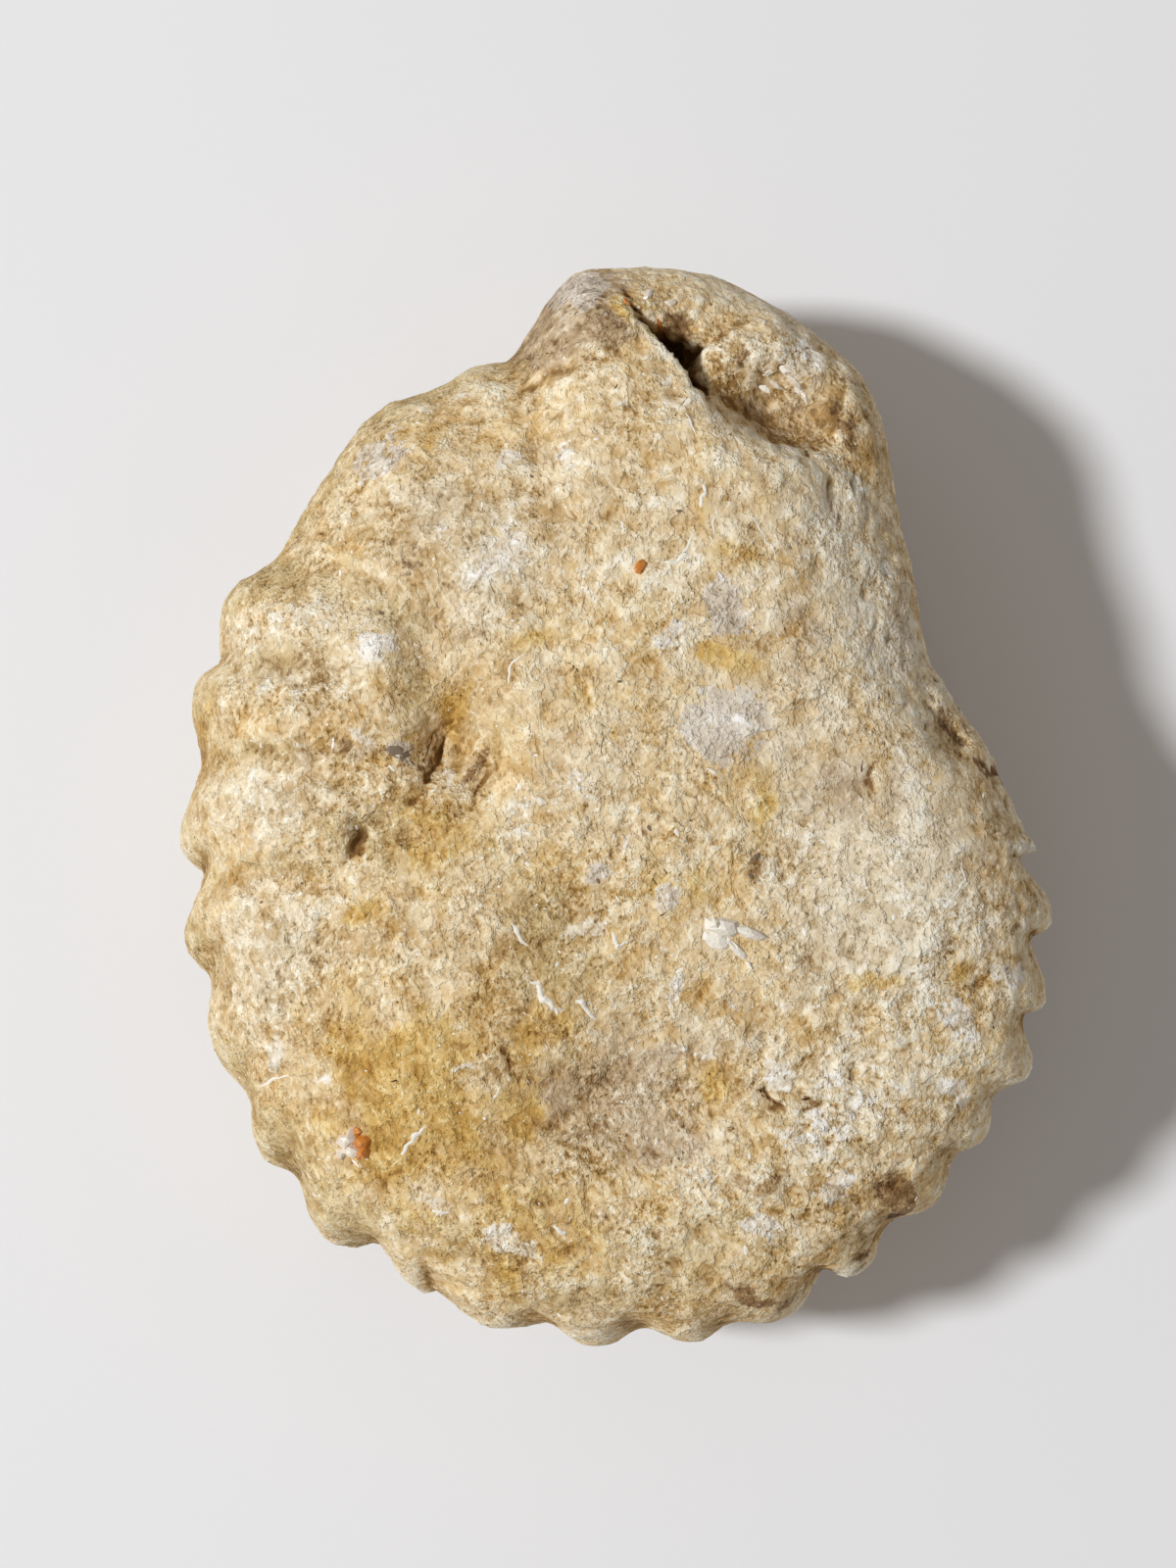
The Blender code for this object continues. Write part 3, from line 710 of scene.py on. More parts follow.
# Spots that lighten (plus) or darken (minus) the rock. Some are paler rock; many are painted light
# and painted shade: lit slopes, the shaded crevice wall and valley, the hollow below the umbilicus
# and a lightened right side.
PALING_AND_PAINTED_LIGHT_SPOTS = (
    (39, -10, 8, 14, -15, 0.8), (40, 26, 7, 20, 28, 1.1), (28, 5, 20, 50, 8, 0.6),
    (33, 37, 5, 8, 30, 0.7), (2, 34, 12, 12, 0, 0.6), (3, 26, 8, 8, 0, 0.5),
    (40, -36, 14, 12, -30, 0.4), (22, -52, 10, 8, 0, 1), (49, -46, 4, 4, 0, 0.8),
    (2, -38, 14, 9, 0, 0.3), (-12, -45.5, 7, 5, 0, 1.2), (48, -34, 4, 3.5, 0, 1.1),
    (10.5, -30.7, 5, 3, 0, 0.5), (-14, -12, 4, 6, -20, 0.9), (-10, 1, 4, 5, 0, 0.5),
    (-35.5, 23.5, 5, 4, 0, 1.1), (-48, 11, 6, 5, 0, 0.6), (-51.5, -25, 3.5, 5, 0, 0.6),
    (-51, -10.5, 6, 3, 0, 0.6), (-26, 54, 5, 4, 0, 0.7), (-13.5, 51, 4, 3.5, 0, 0.7),
    (28, 68, 6, 4, -30, 1.4), (16.5, 58.3, 4.5, 2.6, -35, 1.4), (-3, 74, 8, 8, 0, -1.1),
    (24.6, 57.7, 8, 3, -35, -1), (33.5, 57, 3, 6, 15, -1.8), (15, 66, 3, 4, 0, -1.5),
    (21, 44, 6, 6, -30, -1.6), (52, -2, 4, 12, 15, -0.9), (-40, 36, 9, 4, -20, -1.2),
    (-41, 50, 7, 4, 45, -0.9), (-29, 29, 7, 3.5, -35, -0.8), (-20, 19, 5, 5, -50, -0.8),
    (-19, 10, 4, 7, 0, -1), (-28.6, -8, 6.5, 4.5, 0, -1.4), (-33, 1.5, 3.5, 3, 0, -0.8),
    (2, -20, 10, 4, 0, -1), (-14, -35, 4, 4, 0, -1), (-17, -56, 10, 4, -5, -1.1),
    (-45, -62, 6, 3.5, -35, -1.7), (-62, -2, 3.5, 14, 0, -0.9), (-57, 24, 3, 4, 0, -0.6),
    (40, -33, 3, 3, 0, -0.6), (36, -65, 8, 2.5, 25, -0.8), (18, -77, 5, 2.5, -10, -0.7),
    (17, 27, 5, 4, 0, 0.4), (17, 11, 6, 7, 0, 0.4), (31, 62, 3, 8, 20, -0.8),
)
STAIN_FLATNESS = {"grey": 2.0, "white": 1.6, "brown": 1.5}
RIM_BLEND = 10.0
# Wander of the stain edges: (size, reach) of each pass.
STAIN_WANDER = ((7.0, 2.6), (2.4, 1.0))
HIDDEN_SIZE = 14.0
HIDDEN_SHIFT = 7.0
HIDDEN_GAIN = 1.8
HIDDEN_MOST = 0.9
# Smoothing passes and the depth that counts as one, for hollows and for nicks. Both darken the tone
# as painted shade.
HOLLOW_FIELDS = {"hollow": (12, 0.25), "nick": (2, 0.08)}
CRUST_SPOTS = (
    (42, -42, 20, 16, -40, 0.75), (24, -58, 18, 11, 20, 0.65), (-5, -16, 16, 10, 0, 0.45),
    (28, 66, 6, 5, 0, 0.5), (54, -20, 9, 12, 0, 0.6), (40, 30, 8, 25, 28, 0.3),
)
SMOOTH_SPOTS = (
    (-50, -52, 14, 12, -30, -0.35), (-62, 10, 6, 12, 0, -0.35), (-12, 72, 4, 8, -30, -0.5),
    (18, 17, 9, 12, 0, -0.25), (16, 9.6, 7, 7, 0, -0.5), (16, 25.5, 5, 4, 0, -0.4),
    (44, -8, 9, 10, 0, -0.45), (36, 12, 7, 24, 28, -0.3), (0, -43, 14, 8, 10, -0.2),
    (-5, 45, 14, 12, 0, -0.35), (22, 74, 10, 7, -25, -0.3),
)


def clouds(points, size, offset):
    """One smooth cloudy number for each point."""
    shift = Vector((offset, -offset, 2.0 * offset))
    return np.array([noise.noise(Vector(p) / size + shift) for p in points])


def upper_share(points, at_rim=0.3):
    """One on the upper face, nought on the underside, softly changing over at the rim."""
    return np.clip((points[:, 2] - RIM_HEIGHT) / RIM_BLEND + at_rim, 0.0, 1.0)


def paint_stone(mesh):
    """Write the stain strengths, the spots of paler rock and painted light and shade, and the
    hollows into the mesh as attributes.
    """
    points = read_points(mesh) / MM
    (size, reach), (fine_size, fine_reach) = STAIN_WANDER
    wandered = stir_points(points, size, reach) + stir_points(points, fine_size, fine_reach)
    x, y = (wandered - points)[:, :2].T
    upper = upper_share(points)
    for index, (name, spots) in enumerate(STAINS_AND_PAINTED_SHADE.items()):
        drawn = swells(x, y, spots, STAIN_FLATNESS.get(name, 1.0)) * upper
        hidden = clouds(points, HIDDEN_SIZE, HIDDEN_SHIFT * index) * HIDDEN_GAIN
        store(mesh, name, drawn + np.clip(hidden, 0.0, HIDDEN_MOST) * (1.0 - upper))
    store(mesh, "bleached", swells(x, y, PALING_AND_PAINTED_LIGHT_SPOTS) * upper)
    for name, (rounds, one) in HOLLOW_FIELDS.items():
        store(mesh, name, hollowness(mesh, rounds) / one)


def hollowness(mesh, rounds):
    """How far each point lies below the mean of its surroundings, in millimetres."""
    points = read_points(mesh) / MM
    ends = np.empty(len(mesh.edges) * 2, dtype=np.int32)
    mesh.edges.foreach_get("vertices", ends)
    first, second = ends[0::2], ends[1::2]
    count = np.bincount(ends, minlength=len(points)).astype(float)
    smooth = points.copy()
    for _ in range(rounds):
        total = np.column_stack([
            np.bincount(first, smooth[second, axis], len(points))
            + np.bincount(second, smooth[first, axis], len(points))
            for axis in range(3)
        ])
        smooth = 0.5 * smooth + 0.5 * total / count[:, None]
    normals = np.empty(len(mesh.vertices) * 3)
    mesh.vertices.foreach_get("normal", normals)
    return np.einsum("ij,ij->i", smooth - points, normals.reshape(-1, 3))


# ---------------------------------------------------------------- materials
# Tones of each kind of rock, from dark to light.
LIMESTONE = ((158, 122, 69), (199, 167, 116), (225, 200, 158), (240, 222, 185), (252, 243, 219))
GOLDEN = ((148, 108, 49), (191, 151, 90), (218, 185, 130), (238, 212, 164), (250, 236, 202))
OCHRE = ((130, 88, 34), (176, 132, 62), (202, 162, 90), (222, 189, 122), (240, 218, 164))
# KHAKI also gives the painted shade along the left lobes' furrows.
KHAKI = ((122, 94, 52), (166, 136, 86), (196, 169, 118), (219, 197, 152), (237, 222, 188))
PALE = ((146, 123, 90), (193, 171, 136), (222, 205, 173), (239, 227, 201), (251, 245, 228))
GREY = ((134, 119, 103), (180, 165, 146), (209, 197, 179), (228, 218, 204), (245, 240, 232))
DUN = ((110, 84, 57), (149, 121, 89), (179, 153, 120), (203, 181, 151), (230, 214, 188))
WHITE = ((168, 146, 114), (208, 192, 164), (232, 221, 200), (246, 240, 228), (255, 253, 248))
# BROWN also gives the painted shade in creases, hollows and nicks.
BROWN = ((48, 28, 12), (88, 56, 26), (124, 86, 46), (160, 122, 76), (196, 164, 116))
SHELL = ((236, 229, 214), (251, 249, 243), (255, 255, 255))
GRIT = ((120, 104, 84), (150, 134, 114), (180, 168, 152))
CRACK = ((70, 46, 22), (104, 74, 40))
AMBER = ((216, 134, 54), (245, 184, 112), (255, 240, 216))
QUARTZ = ((244, 230, 210), (255, 253, 248))
CALCITE_IOR = 1.55


def new_material(name):
    """Empty material with its wiring and its surface shader."""
    material = bpy.data.materials.new(name)
    material.use_nodes = True
    return material, Wiring(material.node_tree), material.node_tree.nodes["Principled BSDF"]


# How far the patterns' places are pushed about: (size, reach) in millimetres.
WANDERS = {"bent": (9.0, 4.0), "stirred": (3.5, 1.5), "ragged": (1.2, 0.35)}
# Cloudy patterns: (place, size in millimetres, detail, roughness) of each.
CLOUDY_PATTERNS = {
    "cloud": ("bent", 18.0, 4.0, 0.55), "warmth": ("bent", 7.0, 6.0, 0.62),
    "mottle": ("stirred", 5.0, 5.0, 0.6), "grain": ("still", 0.5, 2.0, 0.6),
    "opening": ("bent", 8.0, 4.0, 0.55), "splitting": ("bent", 6.0, 1.0, 0.55),
    "speck": ("stirred", 0.9, 1.0, 0.55), "dent": ("stirred", 2.6, 2.0, 0.5),
}
PATCH_SIZE = 6.0
PATCH_DETAIL = 6.0
PATCH_EDGE = (0.46, 0.53)
FLAKE_SIZE = 0.9
# Patterns with torn edges: (size in millimetres, detail, from, to) of each.
TORN_PATTERNS = {
    "plate": (3.0, 5.0, 0.47, 0.53), "scale": (1.4, 2.0, 0.42, 0.58),
    "pit": (0.7, 1.0, 0.34, 0.26), "fleck": (0.8, 1.0, 0.64, 0.72),
}
# Drawn-out marks: (width, length, depth in millimetres, detail, turn).
STROKE = (0.50, 1.0, 0.6, 1.0, 0.0)
DASHES = ((0.75, 3.2, 1.6, 2.0, 32.0), (0.7, 3.0, 1.6, 2.0, -38.0))
DASH_EDGE = (0.58, 0.64)
GASH = (0.6, 2.6, 1.4, 2.0, 12.0)
GASH_EDGE = (0.60, 0.66)
SPLIT = (0.26, 1.9, 0.9, 1.0, 0.0)
SPLIT_EDGE = (0.68, 0.76)
# What lightens the rock: (amount, level at which it does nothing) of each pattern. Minus amounts
# darken: the hollow and nick darkening is painted shade, and the spot field holds painted light and
# painted shade as well as paler rock.
BASE_TONE = 0.475
BROAD_TONE = {
    "cloud": (0.9, 0.5), "mottle": (0.68, 0.5), "patch": (0.13, 0.5), "plate": (0.12, 0.5),
    "dash": (0.20, 0.12), "gash": (-0.16, 0.10), "bleached": (0.16, 0.0),
    "hollow": (-0.16, 0.0), "nick": (-0.10, 0.0),
}
SMALL_TONE = {
    "scale": (0.14, 0.5), "flake": (0.15, 0.5), "fleck": (0.26, 0.1), "pit": (-0.28, 0.1),
    "stroke": (0.12, 0.5), "grain": (0.86, 0.5),
}
# What raises the rock's skin, in millimetres.
BROAD_RELIEF = {"patch": (0.12, 0.5), "plate": (0.14, 0.5), "gash": (-0.10, 0.5)}
SMALL_RELIEF = {
    "scale": (0.08, 0.5), "flake": (0.07, 0.5), "fleck": (0.06, 0.5), "pit": (-0.14, 0.5),
    "grain": (0.10, 0.5),
}
DENT_DEPTH = 0.9
SPLIT_DEPTH = -0.2
# What makes the edges of a stain uneven.
STAIN_EDGES = {
    "broad": {"mottle": (1.3, 0.5), "warmth": (0.8, 0.5), "plate": (0.12, 0.5)},
    "crisp": {"mottle": (1.0, 0.5), "plate": (0.20, 0.5), "scale": (0.14, 0.5),
              "stroke": (0.5, 0.5)},
}
# Stained rock in painting order: (stain, tones, edge, from, to, strength). The brown and khaki
# layers also carry painted shade.
STAIN_LAYERS = (
    ("pale", PALE, "broad", 0.05, 0.75, 0.9), ("khaki", KHAKI, "broad", 0.12, 0.85, 0.85),
    ("dun", DUN, "broad", 0.12, 0.75, 0.85), ("ochre", OCHRE, "broad", 0.15, 0.85, 0.95),
    ("grey", GREY, "crisp", 0.38, 0.56, 0.8), ("white", WHITE, "crisp", 0.48, 0.76, 0.8),
    ("brown", BROWN, "crisp", 0.34, 0.74, 0.9),
)
# Soft steps: (from, to, value before, value after).
GOLDEN_SHARE = (0.475, 0.565, 0.0, 0.9)
OPEN_SKIN_SHARE = (0.45, 0.55, 0.45, 1.3)
ROUGH_TONE_SHARE = (0.3, 1.2, 0.45, 1.15)
ROUGH_DENT_SHARE = (0.3, 1.2, 0.45, 1.05)
SPECK_SHARE = (0.74, 0.80, 0.0, 0.8)
NICK_SHADE_SHARE = (0.5, 2.2, 0.0, 0.6)
SPLITTING_SHARE = (0.46, 0.60)
SPLIT_DIRT = 0.5
STAIN_FADE = (0.02, 0.2)
DULLNESS = (0.3, 0.7, 0.72, 0.95)
ROCK_GLOSS = 0.3


def limestone():
    """Weathered limestone: cream plates, hollows darkened as painted shade, stained, flaked and
    cracked.
    """
    material, w, surface = new_material("weathered_limestone")
    still = w.add("ShaderNodeTexCoord").outputs["Object"]
    places = {"still": still}
    for name, (size, reach) in WANDERS.items():
        places[name] = w.wander(still, size * MM, reach * MM)

    def kept(name):
        """A number written into the mesh."""
        return w.add("ShaderNodeAttribute", attribute_name=name).outputs["Fac"]

    def cloudy(where, size, detail, roughness=0.6):
        """Cloudy pattern of a size in millimetres."""
        return w.noise(places[where], size * MM, detail=detail, roughness=roughness)

    def strokes(width, length, depth, detail, turn):
        """Cloudy pattern drawn out along one direction."""
        stretch = {"Vector": places["stirred"], "Rotation": (0.0, 0.0, np.radians(turn)),
                   "Scale": (width * MM, length * MM, depth * MM)}
        drawn = w.add("ShaderNodeMapping", stretch, vector_type="TEXTURE")
        return w.noise(drawn, 1.0, detail=detail).outputs[0]

    def channel(colour, index=0):
        """One channel of a pattern's colour."""
        return w.add("ShaderNodeSeparateColor", {0: colour}).outputs[index]

    patterns = {name: cloudy(*shape).outputs[0] for name, shape in CLOUDY_PATTERNS.items()}
    patch = channel(cloudy("stirred", PATCH_SIZE, PATCH_DETAIL).outputs["Color"], 1)
    patterns["patch"] = w.between(patch, *PATCH_EDGE)
    flake = w.cells(places["ragged"], FLAKE_SIZE * MM).outputs["Color"]
    patterns["flake"] = channel(flake)
    patterns["stroke"] = strokes(*STROKE)
    dash, crossing = (w.between(strokes(*shape), *DASH_EDGE) for shape in DASHES)
    patterns["dash"] = w.math("MAXIMUM", dash, crossing)
    patterns["gash"] = w.between(strokes(*GASH), *GASH_EDGE)
    for name, (size, detail, low, high) in TORN_PATTERNS.items():
        patterns[name] = w.between(cloudy("ragged", size, detail).outputs[0], low, high)
    for name in ("bleached", "hollow", "nick"):
        patterns[name] = kept(name)

    def sum_of(amounts):
        """Patterns added up by their amounts."""
        return w.total(*(
            w.swing(patterns[name], amount, middle) for name, (amount, middle) in amounts.items()
        ))

    rough = kept("rough")
    open_skin = w.between(patterns["opening"], *OPEN_SKIN_SHARE)
    small = w.math("MULTIPLY", sum_of(SMALL_TONE), open_skin)
    small = w.math("MULTIPLY", small, w.between(rough, *ROUGH_TONE_SHARE))
    tone = w.total(BASE_TONE, sum_of(BROAD_TONE), small)

    colour = w.blend(w.between(patterns["warmth"], *GOLDEN_SHARE), w.ramp(tone, LIMESTONE),
                     w.ramp(tone, GOLDEN))
    edges = {kind: sum_of(amounts) for kind, amounts in STAIN_EDGES.items()}
    for name, tones, kind, low, high, strength in STAIN_LAYERS:
        stain = kept(name)
        mask = w.between(w.math("ADD", stain, edges[kind]), low, high, 0.0, strength)
        mask = w.math("MULTIPLY", mask, w.between(stain, *STAIN_FADE))
        colour = w.blend(mask, colour, w.ramp(tone, tones))

    splitting = w.between(patterns["splitting"], *SPLITTING_SHARE)
    split = w.math("MULTIPLY", w.between(strokes(*SPLIT), *SPLIT_EDGE), splitting)
    colour = w.blend(w.math("MULTIPLY", split, SPLIT_DIRT), colour, linear(CRACK[1]))
    colour = w.blend(w.between(patterns["speck"], *SPECK_SHARE), colour, linear(WHITE[3]))
    # Painted shade: the small nicks are darkened towards brown.
    colour = w.blend(w.between(patterns["nick"], *NICK_SHADE_SHARE), colour, linear(BROWN[2]))
    w.tree.links.new(colour, surface.inputs["Base Color"])

    dent = w.swing(patterns["dent"], DENT_DEPTH)
    height = w.total(
        w.math("MULTIPLY", dent, w.between(rough, *ROUGH_DENT_SHARE)), sum_of(BROAD_RELIEF),
        w.math("MULTIPLY", open_skin, sum_of(SMALL_RELIEF)), w.math("MULTIPLY", split, SPLIT_DEPTH),
    )
    bump = w.add("ShaderNodeBump", {"Height": height, "Strength": 1.0, "Distance": MM})
    w.tree.links.new(bump.outputs[0], surface.inputs["Normal"])
    w.tree.links.new(w.between(patterns["mottle"], *DULLNESS), surface.inputs["Roughness"])
    surface.inputs["Specular IOR Level"].default_value = ROCK_GLOSS
    return material


GRAIN_CONTRAST = (1.6, 0.35)
BIT_CONTRAST = 0.6
GRAIN_BUMP = {"Strength": 0.6, "Distance": 0.3 * MM}
FLOOR_TONE = (0.84, 0.84, 0.845, 1.0)
FLOOR_ROUGHNESS = 0.6
FLOOR_GLOSS = 0.2


def grown_in(name, tones, roughness, gloss, size, clearness):
    """Stuff grown into the rock: tones by piece and by grain, with a slight bump."""
    material, w, surface = new_material(name)
    place = w.add("ShaderNodeTexCoord").outputs["Object"]
    grain = w.noise(place, size * MM, detail=3.0, roughness=0.6).outputs[0]
    shade = w.add("ShaderNodeAttribute", attribute_name="shade").outputs["Fac"]
    tone = w.math("ADD", w.swing(grain, *GRAIN_CONTRAST), w.swing(shade, BIT_CONTRAST))
    w.tree.links.new(w.ramp(tone, tones), surface.inputs["Base Color"])
    bump = w.add("ShaderNodeBump", {"Height": grain, **GRAIN_BUMP})
    w.tree.links.new(bump.outputs[0], surface.inputs["Normal"])
    surface.inputs["Roughness"].default_value = roughness
    surface.inputs["Specular IOR Level"].default_value = gloss
    surface.inputs["Transmission Weight"].default_value = clearness
    surface.inputs["IOR"].default_value = CALCITE_IOR
    return material


def floor_material():
    """Plain pale floor."""
    material, _, surface = new_material("pale_floor")
    surface.inputs["Base Color"].default_value = FLOOR_TONE
    surface.inputs["Roughness"].default_value = FLOOR_ROUGHNESS
    surface.inputs["Specular IOR Level"].default_value = FLOOR_GLOSS
    return material


# ---------------------------------------------------------------- build
UNDER_CRUST = 0.3
ROUGHNESS = 0.7
ROUGHNESS_RANGE = (0.25, 1.8)
ROUGH_IN_CRUST = 0.4
ROUGH_IN_CLOUDS = 0.5
ROUGH_SIZE = 22.0
ROUGH_SHIFT = 3.0
# The unfolded skin: how far the sides flare, margin, and (start, height) of each half.
FLARE = 0.8
UNFOLDED_HALF = 0.49
SIDE_OF_BALL = 0.999
UPPER_STRIP = (0.375, 0.62)
LOWER_STRIP = (0.005, 0.36)


def build_stone(collection):
    """The whole stone as one fine mesh."""
    low, high = (np.array(corner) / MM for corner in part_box("ammonite_fossil"))
    mesh = ball_mesh("ammonite_stone")
    corners = read_points(mesh)
    cube = np.tan(corners * np.pi / 4.0)
    directions = cube / np.linalg.norm(cube, axis=1)[:, None]
    points = fit_to_box(shape_stone(directions), low, high)
    write_points(mesh, points * MM)
    x, y = points[:, 0], points[:, 1]
    upper = upper_share(points)
    crust = swells(x, y, CRUST_SPOTS) * upper + UNDER_CRUST * (1.0 - upper)
    store(mesh, "crust", crust)
    rough = ROUGHNESS + ROUGH_IN_CRUST * crust + swells(x, y, SMOOTH_SPOTS)
    rough += ROUGH_IN_CLOUDS * clouds(points, ROUGH_SIZE, ROUGH_SHIFT)
    store(mesh, "rough", np.clip(rough, *ROUGHNESS_RANGE))
    unfold(mesh, corners)
    stone = new_piece(collection, "ammonite_stone", mesh)
    stone.data = run_tree(stone, skin_tree(), {**SKIN, "Material": limestone()})
    bpy.data.meshes.remove(mesh)
    skinned = read_points(stone.data)
    skinned[:, 2] = np.maximum(skinned[:, 2], 0.0)
    write_points(stone.data, skinned)
    paint_stone(stone.data)
    stone.data.shade_smooth()
    return stone


def unfold(mesh, corners):
    """Lay the upper and lower halves of the ball out as two rectangles side by side."""
    side = np.maximum(np.abs(corners[:, 0]), np.abs(corners[:, 1]))
    rim = 1.0 - np.abs(corners[:, 2])
    widen = np.where(side > SIDE_OF_BALL, 1.0 + FLARE * rim, 1.0)
    flat = corners[:, :2] * widen[:, None] / (1.0 + FLARE)
    loops = np.empty(len(mesh.loops), dtype=np.int32)
    mesh.loops.foreach_get("vertex_index", loops)
    corner_z = corners[loops, 2].reshape(-1, 4).mean(axis=1)
    upper = np.repeat(corner_z > 0.0, 4)
    u, v = (0.5 + UNFOLDED_HALF * flat[loops]).T
    v = np.where(upper, UPPER_STRIP[0] + UPPER_STRIP[1] * v, LOWER_STRIP[0] + LOWER_STRIP[1] * v)
    layer = mesh.uv_layers.new(name="OFBake")
    layer.data.foreach_set("uv", np.column_stack((u, v)).ravel())


# ---------------------------------------------------------------- what is grown into the rock
# Lines on the upper face: (half width, points).
SHELL_LINES = (
    (0.65, ((12.6, 45), (12.3, 43), (12, 40.4))),
    (0.52, ((11.2, 38), (10.6, 36), (9.4, 33.8), (7.2, 32.9), (5.4, 33.1))),
    (0.29, ((14.4, 41.5), (13.9, 38.5), (14, 36.3))),
    (0.30, ((-7.9, 32.6), (-7.8, 31))),
    (0.32, ((-16.2, 14.3), (-16, 16.3), (-15.3, 18.6), (-12.6, 20.3))),
    (0.49, ((-26.9, -61), (-25.5, -61.5), (-23.8, -61))),
    (0.72, ((-9.5, -62.8), (-8.2, -63.8), (-6.6, -63.9))),
    (0.72, ((-27.5, -47.6), (-29.4, -49.9), (-31.9, -53.4))),
    (0.41, ((12.2, 2.9), (13.5, 2.6), (14.9, 2.5))),
    (0.30, ((49.5, -8.9), (50.5, -12.9), (48.5, -15.5), (44.2, -16.3))),
    (0.91, ((-13.3, -26.5), (-10.4, -30), (-8, -33.6))),
    (0.72, ((-6.5, -29.4), (-4.3, -31.5), (-2.4, -33.4))),
    (0.61, ((-15.9, -18.4), (-14, -21), (-12.3, -23.5))),
    (0.57, ((-1.6, -20.3), (0.2, -22.4), (1.9, -22))),
    (0.45, ((-52.5, -43), (-49.5, -41.7), (-47.4, -41))),
    (0.29, ((18, 41), (21, 37.5), (23.4, 33))),
    (0.32, ((9.3, 57), (11, 53), (12.2, 50.4))),
)
CRACK_LINES = (
    (0.24, ((-38.4, -3.2), (-38.1, -5.2), (-38.7, -7.1), (-40.8, -9.3))),
    (0.16, ((-38.0, -4.4), (-36.4, -3.6), (-34.6, -2.6))),
    (0.26, ((-26.4, 10.6), (-26.8, 8.4), (-27.8, 5.2), (-28.8, 2.9))),
    (0.26, ((-18.6, 6.0), (-19.9, 4.2), (-21.3, 2.1), (-22.1, 0))),
    (0.15, ((-9.8, 18.9), (-7.6, 18.6), (-5.9, 17.2), (-4.9, 15), (-4.5, 13))),
    (0.18, ((4.2, -12.5), (6.4, -14.2))),
    (0.18, ((6.2, -11.1), (7.2, -12.2), (8.5, -12.8))),
    (0.16, ((4.6, -18.2), (6.8, -17.9), (8.2, -16.8))),
    (0.14, ((-2, 8.8), (-2.5, 6.4), (-2.4, 3.5))),
    (0.24, ((35.9, 5.2), (35.1, 3.2), (35.5, 0.9))),
    (0.30, ((19.4, -41.8), (20.9, -43.6), (23, -45))),
    (0.26, ((26.1, -44.8), (27.4, -44.4), (28.4, -43.6))),
    (0.20, ((-33.4, -42.3), (-32, -42), (-30.7, -42.5))),
    (0.16, ((-18.3, -35.5), (-17.2, -37.5))),
    (0.18, ((-16.7, -37), (-15.8, -39.5), (-15.6, -41.4))),
    (0.16, ((39.7, -39), (40.5, -41.5))),
    (0.18, ((54.5, -33), (55.5, -35))),
    (0.20, ((43.2, -52.4), (43.6, -54))),
    (0.18, ((25.3, -60.8), (26, -62.2))),
    (0.24, ((20.3, -65.3), (22, -65.8))),
    (0.16, ((29, 12.8), (28.2, 11.4))),
    (0.16, ((31.5, 4), (31, 2.4))),
    (0.15, ((10.4, 58.6), (8.6, 55), (9.4, 52.6))),
    (0.14, ((-15, 66.4), (-9, 65.8), (-3, 67.6))),
    (0.16, ((0.4, 61), (-0.6, 58.4))),
)
# Single chips on the upper face: (x, y, length, turn).
WHITE_CHIPS = (
    (-3.1, 51.6, 1.1, 0), (-11.6, -0.6, 0.6, 40), (-14.2, -1.1, 0.5, 0), (-9.9, -3.1, 0.8, 20),
    (-13.1, -10.7, 1.2, -30), (27.5, -6.5, 1, 5), (-36.5, 28.1, 0.8, 0), (-53.3, 3.6, 1.3, 10),
    (-7.3, -59.3, 1.5, 60), (-28.7, -46.4, 1.3, 80), (-8.7, -25.1, 1.2, 60),
    (-7.4, 29.6, 0.9, 80), (8.4, -6.2, 1.6, -65), (-2.2, -12.4, 1.2, -60), (-18.5, -8.5, 0.6, 0),
    (0.9, 25.6, 0.7, 0), (22.6, 61, 2.2, -35), (25.4, 63.5, 2.4, -10), (27.4, 60.6, 1.8, -50),
    (-60, -36, 0.8, 0),
)
DARK_CHIPS = (
    (-34.5, 26.4, 1.3, -30), (8.8, 40.5, 1.2, 0), (-46, -13.3, 0.8, -30), (-52, -16, 0.9, 20),
    (4.4, -5.6, 1.3, -50), (-2.9, -13.2, 1.2, -60), (-31.6, 5.6, 4.4, -14), (20, -9.6, 1.8, 60),
    (19, -12.4, 1.4, -40), (-12.5, 46.4, 0.9, -60), (0.2, 15.6, 1, 10),
)


LINE_STEP = 0.3
LINE_WOBBLE = (1.3, 0.9)
# How uneven a line's width is: (least share, swing), then how fine and at what level.
LINE_UNEVENNESS = (0.75, 0.5)
LINE_GRAIN = (1.7, 5.0)
THINNEST_END = 0.01
CASTING_HEIGHT = 0.1


class Surface:
    """The stone's finished face, asked for its height at a place."""

    def __init__(self, stone):
        points = read_points(stone.data)
        faces = [face.vertices[:] for face in stone.data.polygons]
        self.tree = BVHTree.FromPolygons([Vector(point) for point in points], faces)

    def at(self, x, y):
        """Point and outward direction on the upper face above a place."""
        start = Vector((x * MM, y * MM, CASTING_HEIGHT))
        point, normal, _, _ = self.tree.ray_cast(start, Vector((0, 0, -1)))
        return point, normal


def line_tree():
    """Flattened lines along a wire, thinning to their ends."""
    tree = new_tree("grown_lines", [
        ("Sides", "NodeSocketInt", 6), ("Ends", "NodeSocketFloat", 0.5),
        ("Material", "NodeSocketMaterial", None)])
    w = Wiring(tree)
    given = w.add("NodeGroupInput").outputs
    wire = w.add("GeometryNodeMeshToCurve", {"Mesh": given["Geometry"]})
    along = w.add("GeometryNodeSplineParameter").outputs["Factor"]
    swell = w.math("SINE", w.math("MULTIPLY", along, np.pi))
    taper = w.math("POWER", w.math("MAXIMUM", swell, THINNEST_END), given["Ends"])
    ring = w.add("GeometryNodeCurvePrimitiveCircle", {"Resolution": given["Sides"], "Radius": 1.0})
    tube = w.add("GeometryNodeCurveToMesh", {
        "Curve": wire, "Profile Curve": ring, "Scale": w.math("MULTIPLY", w.field("width"), taper),
        "Fill Caps": True})
    w.finish(tube, given["Material"])
    return tree


